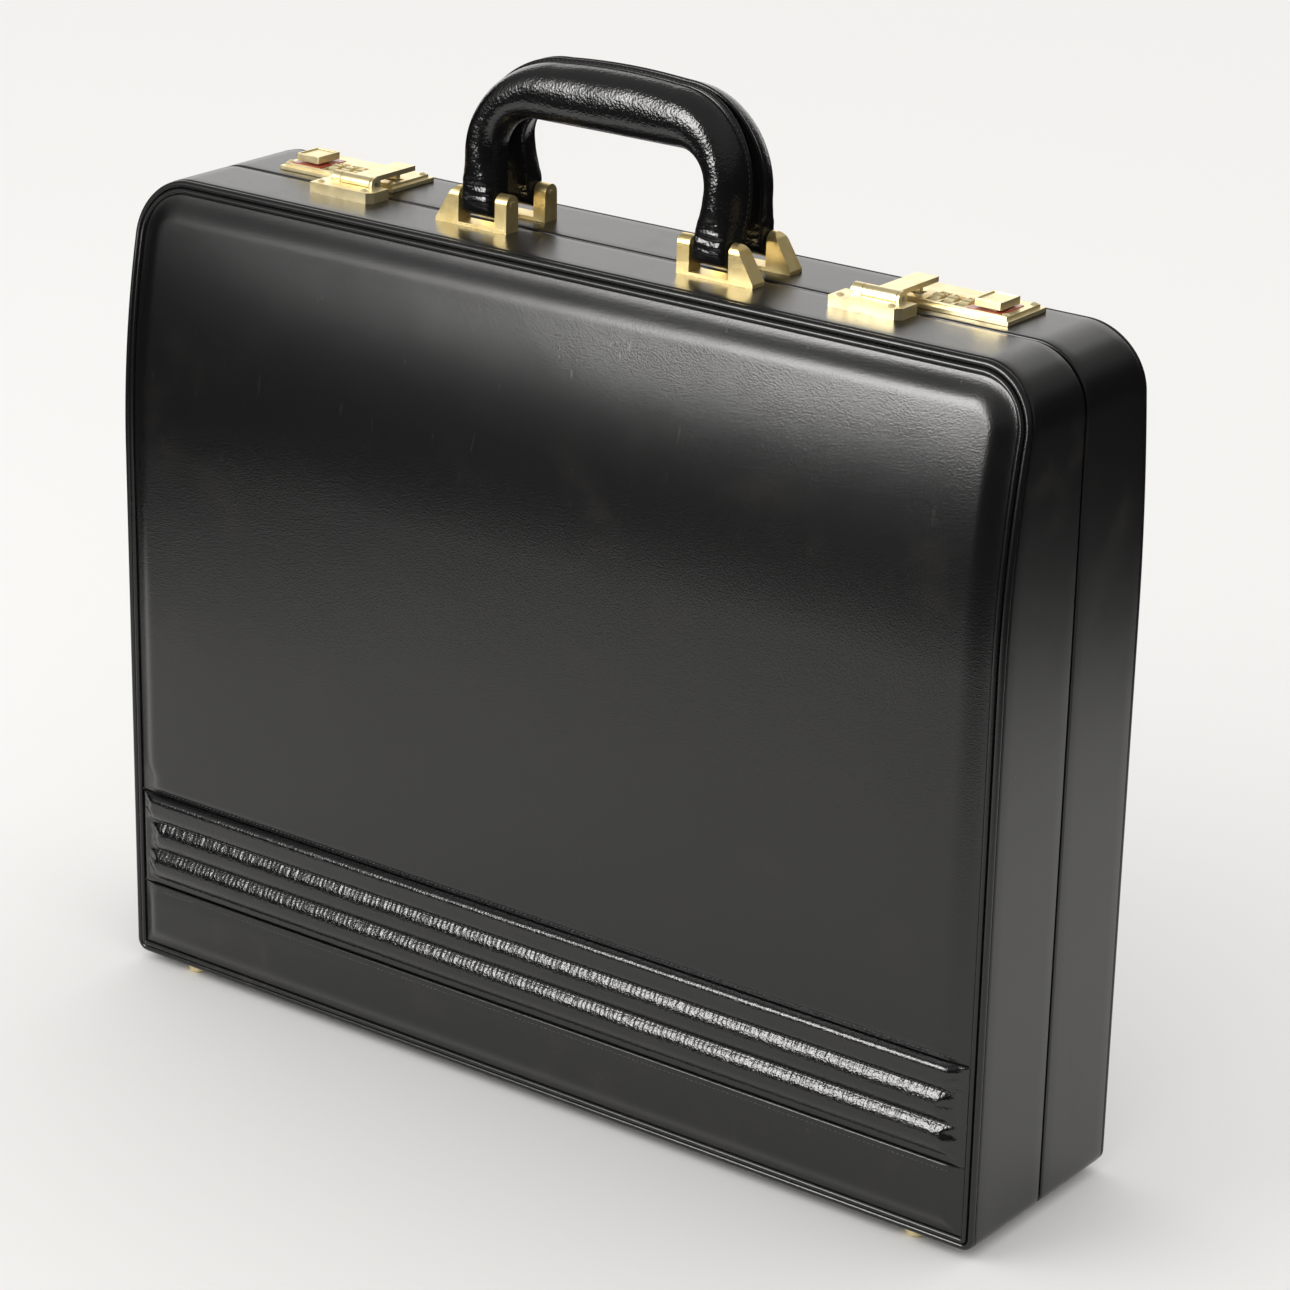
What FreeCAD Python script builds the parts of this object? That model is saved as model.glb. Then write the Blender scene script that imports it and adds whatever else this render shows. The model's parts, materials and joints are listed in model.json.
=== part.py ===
import FreeCAD, Part
import math
import os

from FreeCAD import Vector

# Hard-sided leather attache case, standing closed on its hinge side.
# Millimetres. X is the width, Y the depth (front half at -Y, rear half at +Y),
# Z is up. The origin is on the ground, under the middle of the case, and the
# two halves meet at the plane y = 0. A half is described by its depth from
# that plane, so that side is -1 for the front half and +1 for the rear one.

# ---- driving dimensions: the shell ------------------------------------------
WIDTH = 450.0
SHELL_H = 359.0
FOOT_H = 4.0
RIM_DEPTH = 50.0            # seam plane to the edge piping, low on the case
BEND_Z = 240.0              # height above the underside where the faces lean in
TOP_DEPTH = {-1: 34.3, 1: 41.0}   # seam plane to the piping at the top
TOP_CORNER = 25.5
BOTTOM_CORNER = 5.5
LEAST_CORNER = 0.6

LEATHER = 1.2
FRAME = 4.0
LINING = 1.0
BOARD_STEP = 3.0            # the board and piping start this far below the rim
PIPING_W = 3.5
PAD_LOW = 0.5               # the padding starts this far below the rim
PAD_RISE = 3.5
RIB_RISE = 4.0
LEATHER_START = 0.9         # gap from the seam plane to each part of the edge
RIM_START = 0.4
RIM_END = 2.0

BAND_LOW = 36.0             # heights above the underside
BAND_HIGH = 80.0
RIB_PITCH = 14.3
RIB_TOP = 74.6
RIB_COUNT = 3
RIB_R = 6.6
RIB_HALF_LENGTH = 217.0
BAND_BASE_RISE = 1.0
LOWER_RISE = 2.8
POCKET_LOW = 60.0
POCKET_HIGH = 235.0
POCKET_HALF_W = 195.0
POCKET_T = 3.0

# ---- driving dimensions: hinge, feet and stays ------------------------------
HINGE_Z = 3.0
KNUCKLE_R = 1.7
HINGE_PIN_R = 0.8
HINGE_HALF_L = 187.0
KNUCKLES = 11
KNUCKLE_GAP = 0.3
LEAF_T = 0.8
LEAF_DEPTH = 13.0
CHANNEL_R = 2.1
FOOT_X = 194.0
FOOT_DEPTH = 43.0
FOOT_R = 4.8
FOOT_TOE_R = 3.4
FOOT_SHOULDER_R = 4.4
FOOT_SHOULDER_H = 0.8
FOOT_SHANK_R = 1.2
FOOT_SHANK_L = 4.0

STAY_R = 55.0               # stay pivots to the hinge line, and link length
STAY_DEPTH = 6.0
STAY_W = 9.0
STAY_T = 1.2
STAY_INSET = {1: 7.6, -1: 9.2}    # outer face of each link, from the case's side
STAY_PIN_R = 1.5
STAY_HEAD_R = 2.7
STAY_HEAD_T = 0.8
STAY_HEAD_GAP = 0.3
ELBOW_GAP = 0.4
STAY_PAD = 18.0
STAY_PAD_MARGIN = 1.0
RUNNING = 0.05              # radial clearance of every turning fit

# ---- driving dimensions: the handles, above the top plane -------------------
HANDLE_Y = {-1: 10.0, 1: 15.5}
HANDLE_LEAN = 4.9           # degrees, each handle's top towards the other one
HANDLE_T = 14.0
GRIP_TOP = 72.2
GRIP_UNDER = 47.8
GRIP_HALF_W = 68.5
GRIP_CORNER = 40.0
INNER_HALF_W = 51.5
INNER_CORNER = 14.0
LEG_OUT = 67.3
KNEE_IN = 0.4
LEG_IN = 49.3
LEG_STRAIGHT = 24.0
GRIP_EDGE = 5.0
CORE_INSET = 6.0
CORE_T = 4.0
EYE_INSET = 2.0
EYE_R = 4.5
PIVOT_Z = 11.8
PIVOT_R = 1.5
PIVOT_FROM = 42.6
PIVOT_TO = 71.0

BRACKET_IN = 43.0
BRACKET_OUT = 80.0
EAR_INNER = 49.0
EAR_OUTER = 68.0
EAR_TOP_OUT = 72.5
EAR_R = 3.9
EAR_BEVEL = 2.0
BRACKET_HALF_D = 4.1
BRACKET_FLOOR = 1.5

# ---- driving dimensions: the latches, above the top plane -------------------
CATCH_X = 132.0
CATCH_HALF_L = 16.5
CATCH_DEPTH = (2.0, 14.0)
CATCH_H = 4.6
CATCH_CHAMFER = 2.5
BARREL_R = 3.1
BARREL_Y = -3.4
BARREL_Z = 5.6
BARREL_GAP = 0.3
KNOB_WALL = 0.8
KNOB = (-11.2, -6.5)        # along X from the catch plate's middle
HASP_BARREL = (-6.2, 9.4)
CHEEK = (9.7, 10.9)
HASP_PIN_R = 1.0
ARM = (-0.6, 9.4)
ARM_Z = (6.4, 8.6)
ARM_END = 24.5
ARM_TIP_R = 1.0
LUG_ROOT = 0.5              # how far the lug reaches up into the arm
LUG_HALF = 2.0
LUG_Y = (15.0, 17.5)
LUG_LOW = 3.8

PLATE_X = (121.0, 184.0)
PLATE_Y = (7.0, 34.5)
PLATE_STEP = 1.9
PLATE_T = 3.2
STEP_IN = 1.7
HASP_SLOT_MARGIN = 1.2
DIAL_X = 146.5
DIAL_PITCH = 6.5
DIAL_Y = 16.5
DIAL_Z = -2.0
DIAL_R = 6.4
DIAL_W = 4.4
DIAL_TEETH = 20
DIAL_NOTCH = 0.35
DIAL_GAP = 0.3
SPINDLE_R = 1.4
CASE_X = (141.0, 181.5)
CASE_Y = (8.6, 32.5)
CASE_LOW = -11.0
CASE_WALL = 1.2
BUTTON_X = 171.8
BUTTON_Y = 18.1
BUTTON_W = 12.5
BUTTON_D = 13.8
BUTTON_Z = (4.2, 7.4)
BUTTON_RIM = 1.0
BUTTON_CORNER = 0.6
BUTTON_DISH = 0.6
BUTTON_TRAVEL = 3.0
STEM_W = 5.0
STEM_D = 8.0
STEM_LOW = -5.0
STRIP_T = 0.3
STRIP_X = (163.3, 179.0)
STRIP_Y = (9.6, 26.2)
RIVET_R = 1.7
RIVET_H = 0.9

UNDER_Z = FOOT_H
TOP_Z = FOOT_H + SHELL_H
HALF_W = WIDTH / 2
REACH = 400.0               # longer than any part, for cutting tools
OVER = 1.0                  # how far a cutting tool reaches past a surface
SAME = 0.01                 # two lengths this near are equal
PAST_TOP = 1.1              # the leaning arc is drawn on past the top of the case
SIDE_NAME = {-1: "front", 1: "rear"}
HAND_NAME = {-1: "left", 1: "right"}


# ---- helpers ----------------------------------------------------------------
def box(x, y, z):
    """Box from three (low, high) pairs, in either order."""
    low = [min(pair) for pair in (x, y, z)]
    size = [abs(pair[1] - pair[0]) for pair in (x, y, z)]
    return Part.makeBox(*size, Vector(*low))


def rod_x(x0, x1, y, z, radius):
    """Round rod along X."""
    return Part.makeCylinder(radius, x1 - x0, Vector(x0, y, z), Vector(1, 0, 0))


def prism(points, direction):
    """Closed polygon, pushed along a direction."""
    wire = Part.makePolygon([*points, points[0]])
    return Part.Face(wire).extrude(direction)


def mirrored(shape, hand):
    """The shape itself on the right (+1), or its mirror image on the left (-1)."""
    return shape if hand == 1 else shape.mirror(Vector(0, 0, 0), Vector(1, 0, 0))


def fused(shapes):
    """One clean solid from several that touch."""
    return shapes[0].multiFuse(shapes[1:]).removeSplitter()


def save(name, shape):
    """Write one node."""
    shape.exportStep(os.path.join("parts", f"{name}.step"))
    print(f"{name}: {len(shape.Solids)} solid, {shape.Volume / 1000:.2f} cm3, valid {shape.isValid()}")


# ---- the shell's two outlines -----------------------------------------------
def outline(inset, d0, d1, side):
    """The case's front-view outline, shrunk by inset, between two depths."""
    x = HALF_W - inset
    low, high = UNDER_Z + inset, TOP_Z - inset
    radii = [max(r - inset, LEAST_CORNER) for r in (BOTTOM_CORNER, BOTTOM_CORNER, TOP_CORNER, TOP_CORNER)]
    corners = [(-x, low, -1, -1), (x, low, 1, -1), (x, high, 1, 1), (-x, high, -1, 1)]
    edges, ends = [], []
    for (cx, cz, sx, sz), r in zip(corners, radii):
        middle = Vector(cx - sx * r, 0, cz - sz * r)
        a = middle + Vector(sx * r, 0, 0)
        b = middle + Vector(0, 0, sz * r)
        half = middle + Vector(sx, 0, sz) * (r / math.sqrt(2))
        start, stop = (a, b) if sx * sz > 0 else (b, a)
        edges.append(Part.Arc(start, half, stop).toShape())
        ends.append((start, stop))
    sides = [Part.makeLine(ends[i][1], ends[(i + 1) % 4][0]) for i in range(4)]
    wire = Part.Wire(Part.__sortEdges__(edges + sides))
    face = Part.Face(wire)
    face.translate(Vector(0, side * d0, 0))
    return face.extrude(Vector(0, side * (d1 - d0), 0))


def under_profile(side, offset):
    """All the space from the seam plane out to the half's leaning face, plus offset."""
    drop = RIM_DEPTH - TOP_DEPTH[side]
    rise = SHELL_H - BEND_Z
    radius = (rise * rise + drop * drop) / (2 * drop)
    middle_d, middle_z = RIM_DEPTH - radius, UNDER_Z + BEND_Z
    arc_r = radius + offset

    def on_arc(angle):
        return Vector(-REACH, side * (middle_d + arc_r * math.cos(angle)), middle_z + arc_r * math.sin(angle))

    last = PAST_TOP * math.asin(rise / radius)
    low = Vector(-REACH, side * (RIM_DEPTH + offset), -REACH)
    top = on_arc(last)
    edges = [
        Part.makeLine(Vector(-REACH, 0, -REACH), low),
        Part.makeLine(low, on_arc(0)),
        Part.Arc(on_arc(0), on_arc(last / 2), top).toShape(),
        Part.makeLine(top, Vector(-REACH, 0, top.z)),
        Part.makeLine(Vector(-REACH, 0, top.z), Vector(-REACH, 0, -REACH)),
    ]
    return Part.Face(Part.Wire(edges)).extrude(Vector(2 * REACH, 0, 0))


def slab(side, inset, low, high):
    """Part of the face, from offset low to offset high of the leaning profile."""
    block = outline(inset, 0, RIM_DEPTH + 2 * RIB_RISE, side)
    return block.common(under_profile(side, high)).cut(under_profile(side, low))


def hoop(side, outer, inner, start, end_offset):
    """Band round the case, from a depth out to an offset of the leaning profile."""
    block = outline(outer, start, RIM_DEPTH + RIB_RISE, side)
    hole = outline(inner, start - OVER, RIM_DEPTH + 2 * RIB_RISE, side)
    return block.cut(hole).common(under_profile(side, end_offset))


def between(shape, low, high):
    """The stretch of a shape between two heights above the underside."""
    return shape.common(box((-REACH, REACH), (-REACH, REACH), (UNDER_Z + low, UNDER_Z + high)))


# ---- the two halves ---------------------------------------------------------
def hinge_channel():
    """Room for the hinge knuckles along the bottom of the seam."""
    return rod_x(-HINGE_HALF_L - OVER, HINGE_HALF_L + OVER, 0, HINGE_Z, CHANNEL_R)


def lock_pockets():
    """The two openings in the rear top wall that hold the lock cases."""
    depth = (TOP_Z + CASE_LOW - OVER, TOP_Z + OVER)
    return [mirrored(box(CASE_X, CASE_Y, depth), hand) for hand in (-1, 1)]


def foot_shanks(side):
    """The rivet shanks of the two feet of one half."""
    at = [Vector(hand * FOOT_X, side * FOOT_DEPTH, UNDER_Z) for hand in (-1, 1)]
    return [Part.makeCylinder(FOOT_SHANK_R, FOOT_SHANK_L, p) for p in at]


def make_half(side):
    """The boards, leather, padding, piping and lining of one half."""
    name = SIDE_NAME[side]
    holes = [hinge_channel(), *foot_shanks(side)] + (lock_pockets() if side == 1 else [])
    layers = {
        "side_leather": hoop(side, 0, LEATHER, LEATHER_START, -BOARD_STEP),
        "frame": hoop(side, LEATHER, LEATHER + FRAME, RIM_END, -BOARD_STEP),
        "rim": outline(LEATHER, RIM_START, RIM_END, side).cut(
            outline(LEATHER + FRAME + LINING, 0, RIM_END + OVER, side)),
        "lining": make_lining(side),
    }
    for part, shape in layers.items():
        save(f"{name}_{part}", shape.cut(holes))
    save(f"{name}_board", slab(side, PIPING_W, -BOARD_STEP, -PAD_LOW))
    save(f"{name}_piping", slab(side, 0, -BOARD_STEP, 0).cut(outline(PIPING_W, 0, REACH, side)))
    save(f"{name}_face_panel", between(slab(side, PIPING_W, -PAD_LOW, PAD_RISE), BAND_HIGH, SHELL_H))
    save(f"{name}_lower_panel", between(slab(side, PIPING_W, -PAD_LOW, LOWER_RISE), 0, BAND_LOW))
    save(f"{name}_rib_band", make_rib_band(side))


def make_lining(side):
    """A thin cloth tray against the inside of the frame and the board."""
    outer = LEATHER + FRAME
    block = outline(outer, RIM_END, RIM_DEPTH, side).common(under_profile(side, -BOARD_STEP))
    hollow = outline(outer + LINING, 0, RIM_DEPTH, side)
    return block.cut(hollow.common(under_profile(side, -BOARD_STEP - LINING)))


def make_rib_band(side):
    """The stitched band low on the face: a flat base with three padded ribs."""
    band = between(slab(side, PIPING_W, -PAD_LOW, BAND_BASE_RISE), BAND_LOW, BAND_HIGH)
    inner = box((-REACH, REACH), (0, side * (RIM_DEPTH - PAD_LOW)), (-REACH, REACH))
    for i in range(RIB_COUNT):
        z = UNDER_Z + RIB_TOP - i * RIB_PITCH
        y = side * (RIM_DEPTH + RIB_RISE - RIB_R)
        band = band.fuse(rod_x(-RIB_HALF_LENGTH, RIB_HALF_LENGTH, y, z, RIB_R).cut(inner))
    return between(band, BAND_LOW, BAND_HIGH).removeSplitter()


def make_pocket():
    """Flat document pocket on the lining of the front half."""
    side = -1
    low = -BOARD_STEP - LINING - POCKET_T
    panel = between(slab(side, 2 * PIPING_W, low, low + POCKET_T), POCKET_LOW, POCKET_HIGH)
    save("document_pocket", panel.common(box((-POCKET_HALF_W, POCKET_HALF_W), (-REACH, 0), (0, REACH))))


# ---- feet, hinge and stays --------------------------------------------------
def make_feet(side):
    """Two turned studs under one half."""
    z = FOOT_H
    shape = [(0, 0), (FOOT_TOE_R, 0), (FOOT_SHOULDER_R, FOOT_SHOULDER_H), (FOOT_R, z), (0, z)]
    face = Part.Face(Part.makePolygon([Vector(r, 0, h) for r, h in [*shape, shape[0]]]))
    stud = face.revolve(Vector(0, 0, 0), Vector(0, 0, 1), 360)
    feet = []
    for hand, shank in zip((-1, 1), foot_shanks(side)):
        foot = stud.copy()
        foot.translate(Vector(hand * FOOT_X, side * FOOT_DEPTH, 0))
        feet.append(foot.fuse(shank).removeSplitter())
    save(f"{SIDE_NAME[side]}_feet", Part.makeCompound(feet))


def knuckle_spans(side):
    """The stretches of the hinge line that belong to one leaf."""
    length = 2 * HINGE_HALF_L / KNUCKLES
    first = 0 if side == 1 else 1
    starts = [-HINGE_HALF_L + i * length for i in range(first, KNUCKLES, 2)]
    return [(x + KNUCKLE_GAP / 2, x + length - KNUCKLE_GAP / 2) for x in starts]


def make_leaf(side):
    """One leaf of the long hinge, with its share of the knuckles."""
    edge = CHANNEL_R + KNUCKLE_GAP
    level = (UNDER_Z - LEAF_T, UNDER_Z)
    parts = [box((-HINGE_HALF_L, HINGE_HALF_L), (side * edge, side * LEAF_DEPTH), level)]
    for x0, x1 in knuckle_spans(side):
        parts.append(box((x0, x1), (0, side * (edge + OVER)), level))
        parts.append(rod_x(x0, x1, 0, HINGE_Z, KNUCKLE_R))
    bore = rod_x(-HINGE_HALF_L - OVER, HINGE_HALF_L + OVER, 0, HINGE_Z, HINGE_PIN_R + RUNNING)
    save(f"hinge_leaf_{SIDE_NAME[side]}", fused(parts).cut(bore))


def stay_points():
    """Pivot on the rear half, elbow, and pivot on the front half, as (y, z)."""
    rise = math.sqrt(STAY_R ** 2 - STAY_DEPTH ** 2)
    return {1: (STAY_DEPTH, HINGE_Z + rise), 0: (0, HINGE_Z + 2 * rise), -1: (-STAY_DEPTH, HINGE_Z + rise)}


def make_stay_link(side, hand):
    """One flat link of an elbow stay, from its pivot up to the elbow."""
    points = stay_points()
    (y0, z0), (y1, z1) = points[side], points[0]
    outer = HALF_W - STAY_INSET[side]
    x0, x1 = outer - STAY_T, outer
    angle = math.degrees(math.atan2(y1 - y0, z1 - z0))
    bar = box((x0, x1), (-STAY_W / 2, STAY_W / 2), (0, STAY_R))
    bar.rotate(Vector(0, 0, 0), Vector(1, 0, 0), -angle)
    bar.translate(Vector(0, y0, z0))
    ends = [rod_x(x0, x1, y, z, STAY_W / 2) for y, z in (points[side], points[0])]
    hole = rod_x(x0 - OVER, x1 + OVER, y0, z0, STAY_PIN_R + RUNNING)
    link = fused([bar, *ends]).cut(hole)
    if side == 1:
        link = fused([link, elbow_rivet(y1, z1)])
    else:
        link = link.cut(rod_x(x0 - OVER, x1 + OVER, y1, z1, STAY_PIN_R + ELBOW_GAP))
    save(f"{HAND_NAME[hand]}_stay_link_{SIDE_NAME[side]}", mirrored(link, hand))


def elbow_rivet(y, z):
    """Rivet of a stay's elbow, fixed in the rear link, through the front one."""
    inner = HALF_W - STAY_INSET[-1] - STAY_T - STAY_HEAD_GAP
    pin = rod_x(inner, HALF_W - STAY_INSET[1], y, z, STAY_PIN_R)
    return pin.fuse(rod_x(inner - STAY_HEAD_T, inner, y, z, STAY_HEAD_R))


def make_stay_mounts(side):
    """The two plates, each with a pivot stud, that carry one half's stay links."""
    y, z = stay_points()[side]
    wall = HALF_W - LEATHER - FRAME - LINING
    face = HALF_W - STAY_INSET[side] + STAY_HEAD_GAP
    head = HALF_W - STAY_INSET[side] - STAY_T - STAY_HEAD_GAP
    near = side * (STAY_DEPTH - STAY_PIN_R - STAY_PAD_MARGIN)
    plate = box((face, wall), (near, near + side * STAY_PAD), (z - STAY_PAD, z + STAY_W / 2))
    pivot = rod_x(head, face, y, z, STAY_PIN_R)
    button = rod_x(head - STAY_HEAD_T, head, y, z, STAY_HEAD_R)
    mount = fused([plate, pivot, button])
    save(f"stay_mounts_{SIDE_NAME[side]}", Part.makeCompound([mirrored(mount, h) for h in (-1, 1)]))


# ---- handles ----------------------------------------------------------------
def arch(inset):
    """The handle's outline as a face in the XZ plane, shrunk by inset."""
    foot = TOP_Z + PIVOT_Z
    top, under = TOP_Z + GRIP_TOP - inset, TOP_Z + GRIP_UNDER + inset
    outer, inner = GRIP_HALF_W - inset, INNER_HALF_W + inset
    r_out, r_in = GRIP_CORNER - inset, INNER_CORNER + inset
    low_out, low_in = LEG_OUT - inset, LEG_IN + inset
    knee = TOP_Z + LEG_STRAIGHT
    slope = r_out / math.sqrt(2)
    slope_in = r_in / math.sqrt(2)

    def v(x, z):
        return Vector(x, 0, z)

    edges = []
    for s in (-1, 1):
        side_top, side_under = v(s * (outer - r_out), top), v(s * (inner - r_in), under)
        turn = v(s * (outer - r_out + slope), top - r_out + slope)
        turn_in = v(s * (inner - r_in + slope_in), under - r_in + slope_in)
        shoulder, inside = v(s * outer, top - r_out), v(s * inner, under - r_in)
        edges += [
            Part.Arc(side_top, turn, shoulder).toShape(),
            Part.Arc(side_under, turn_in, inside).toShape(),
            Part.makeLine(v(s * low_out, foot), v(s * (outer - KNEE_IN), knee)),
            Part.makeLine(v(s * (outer - KNEE_IN), knee), shoulder),
            Part.makeLine(v(s * low_in, foot), inside),
            Part.makeLine(v(s * low_out, foot), v(s * low_in, foot)),
        ]
    edges.append(Part.makeLine(v(-(outer - r_out), top), v(outer - r_out, top)))
    edges.append(Part.makeLine(v(-(inner - r_in), under), v(inner - r_in, under)))
    return Part.Face(Part.Wire(Part.__sortEdges__(edges)))


def leg_ends(radius, low, high):
    """Round lower ends of the two legs, about the pivot pins."""
    y, z = 0, TOP_Z + PIVOT_Z
    return [mirrored(rod_x(low, high, y, z, radius), hand) for hand in (-1, 1)]


def pivot_bores(radius):
    """The two pin holes along X."""
    bore = rod_x(EAR_INNER - OVER, EAR_OUTER + OVER, 0, TOP_Z + PIVOT_Z, radius)
    return [mirrored(bore, hand) for hand in (-1, 1)]


def make_handle(side):
    """Leather grip, steel core and pins of one handle."""
    name = SIDE_NAME[side]
    shift = Vector(0, side * HANDLE_Y[side], 0)
    pivot = Vector(0, 0, TOP_Z + PIVOT_Z)
    body = arch(0).extrude(Vector(0, HANDLE_T, 0))
    body.translate(Vector(0, -HANDLE_T / 2, 0))
    rim = [e for e in body.Edges if on_flat_side(e)]
    body = body.makeFillet(GRIP_EDGE, rim)
    body = fused([body, *leg_ends(HANDLE_T / 2, LEG_IN, LEG_OUT)])
    core = arch(CORE_INSET).extrude(Vector(0, CORE_T, 0))
    core.translate(Vector(0, -CORE_T / 2, 0))
    core = fused([core, *leg_ends(EYE_R, LEG_IN + EYE_INSET, LEG_OUT - EYE_INSET)])
    grip = body.cut(core).cut(pivot_bores(PIVOT_R + RUNNING))
    core = core.cut(pivot_bores(PIVOT_R + RUNNING))
    pin = rod_x(PIVOT_FROM, PIVOT_TO, 0, TOP_Z + PIVOT_Z, PIVOT_R)
    pins = Part.makeCompound([mirrored(pin, hand) for hand in (-1, 1)])
    for shape in (grip, core):
        shape.rotate(pivot, Vector(1, 0, 0), side * HANDLE_LEAN)
    for part, shape in (("grip", grip), ("core", core), ("pins", pins)):
        shape.translate(shift)
        save(f"{name}_handle_{part}", shape)


def on_flat_side(edge):
    """True for the long edges round the grip's two flat sides, above the legs' ends."""
    bounds = edge.BoundBox
    return bounds.YLength < SAME and bounds.ZMax > TOP_Z + PIVOT_Z + OVER


def make_bracket(side, hand):
    """Cast bracket with two ears, the outer one a sloping buttress."""
    z = TOP_Z
    depth = 2 * BRACKET_HALF_D
    top = PIVOT_Z + EAR_R
    outer = [(EAR_OUTER, 0), (BRACKET_OUT, 0), (BRACKET_OUT, BRACKET_FLOOR),
             (EAR_TOP_OUT, top - EAR_BEVEL), (EAR_TOP_OUT - EAR_BEVEL, top), (EAR_OUTER, top)]
    points = [Vector(x, -BRACKET_HALF_D, z + h) for x, h in outer]
    ears = [prism(points, Vector(0, depth, 0)),
            box((BRACKET_IN, EAR_INNER), (-BRACKET_HALF_D, BRACKET_HALF_D), (z, z + top))]
    low, high, pivot = BRACKET_HALF_D, EAR_R, z + PIVOT_Z
    post = prism([Vector(0, -low, z), Vector(0, low, z), Vector(0, high, pivot), Vector(0, -high, pivot)],
                 Vector(REACH, 0, 0))
    side_view = post.fuse(rod_x(0, REACH, 0, pivot, high))
    floor = box((BRACKET_IN, BRACKET_OUT), (-BRACKET_HALF_D, BRACKET_HALF_D), (z, z + BRACKET_FLOOR))
    bracket = fused([ear.common(side_view) for ear in ears] + [floor])
    bracket = bracket.cut(rod_x(PIVOT_FROM - OVER, PIVOT_TO, 0, pivot, PIVOT_R))
    bracket = mirrored(bracket, hand)
    bracket.translate(Vector(0, side * HANDLE_Y[side], 0))
    save(f"{SIDE_NAME[side]}_handle_bracket_{HAND_NAME[hand]}", bracket)


# ---- latches ----------------------------------------------------------------
def barrel(span, radius, middle):
    """Round stretch on a latch's hinge line."""
    return rod_x(middle + span[0], middle + span[1], BARREL_Y, TOP_Z + BARREL_Z, radius)


def make_catch(hand):
    """Catch plate on the front half, with the fixed knob and cheek of its hinge."""
    x, z = hand * CATCH_X, TOP_Z
    low, high = -CATCH_DEPTH[1], -CATCH_DEPTH[0]
    x0, x1, c = x - CATCH_HALF_L, x + CATCH_HALF_L, CATCH_CHAMFER
    points = [(x0, low), (x1 - c, low), (x1, low + c), (x1, high), (x0, high)]
    plate = prism([Vector(px, py, z) for px, py in points], Vector(0, 0, CATCH_H))
    plate = plate.cut(barrel((KNOB[1], CHEEK[0]), BARREL_R + BARREL_GAP, x))
    fixed = [plate]
    for span in (KNOB, CHEEK):
        fixed.append(barrel(span, BARREL_R, x))
        foot = (BARREL_Y - BARREL_R, BARREL_Y + BARREL_R)
        fixed.append(box((x + span[0], x + span[1]), (foot[0], high), (z, z + BARREL_Z)))
    catch = fused(fixed).cut(barrel((KNOB[0] + KNOB_WALL, CHEEK[1] + OVER), HASP_PIN_R, x))
    save(f"{HAND_NAME[hand]}_catch_plate", catch)


def make_hasp(hand):
    """Swinging hasp: barrel, arm that reaches over the lock plate, and its lug."""
    x, z = hand * CATCH_X, TOP_Z
    arm = box((x + ARM[0], x + ARM[1]), (BARREL_Y, ARM_END), (z + ARM_Z[0], z + ARM_Z[1]))
    tips = [e for e in arm.Edges if e.BoundBox.YMin > ARM_END - SAME]
    arm = arm.makeFillet(ARM_TIP_R, tips)
    middle = x + (ARM[0] + ARM[1]) / 2
    lug = box((middle - LUG_HALF, middle + LUG_HALF), LUG_Y, (z + LUG_LOW, z + ARM_Z[0] + LUG_ROOT))
    hasp = fused([arm, barrel(HASP_BARREL, BARREL_R, x), lug])
    hasp = hasp.cut(barrel((HASP_BARREL[0] - OVER, HASP_BARREL[1] + OVER), HASP_PIN_R + RUNNING, x))
    save(f"{HAND_NAME[hand]}_hasp", hasp)


def make_hasp_pins():
    """Steel pins of the two hasps."""
    pins = [barrel((KNOB[0] + KNOB_WALL, CHEEK[1]), HASP_PIN_R, hand * CATCH_X) for hand in (-1, 1)]
    save("hasp_pins", Part.makeCompound(pins))


def dial_centres():
    """X of the three dials of the right-hand lock."""
    return [DIAL_X + i * DIAL_PITCH for i in range(3)]


def make_lock_plate(hand):
    """Stepped lock plate with three dial slots, a hasp slot and a button window."""
    z = TOP_Z
    x, y, s = PLATE_X, PLATE_Y, STEP_IN
    plate = box(x, y, (z, z + PLATE_STEP)).fuse(
        box((x[0] + s, x[1] - s), (y[0] + s, y[1] - s), (z, z + PLATE_T))).removeSplitter()
    through = (z - OVER, z + PLATE_T + OVER)
    reach = math.sqrt(DIAL_R ** 2 - DIAL_Z ** 2) + DIAL_GAP
    half = DIAL_W / 2 + DIAL_GAP
    for cx in dial_centres():
        plate = plate.cut(box((cx - half, cx + half), (DIAL_Y - reach, DIAL_Y + reach), through))
    plate = mirrored(plate.cut(button_window(through)), hand)
    middle = hand * CATCH_X + (ARM[0] + ARM[1]) / 2
    m = HASP_SLOT_MARGIN
    slot = box((middle - LUG_HALF - m, middle + LUG_HALF + m), (LUG_Y[0] - m, LUG_Y[1] + m), through)
    save(f"{HAND_NAME[hand]}_lock_plate", plate.cut(slot))


def button_window(z):
    """Opening that the button's stem slides in."""
    x0 = BUTTON_X - STEM_W / 2 - DIAL_GAP
    x1 = BUTTON_X + STEM_W / 2 + BUTTON_TRAVEL + DIAL_GAP
    half = STEM_D / 2 + DIAL_GAP
    return box((x0, x1), (BUTTON_Y - half, BUTTON_Y + half), z)


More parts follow.
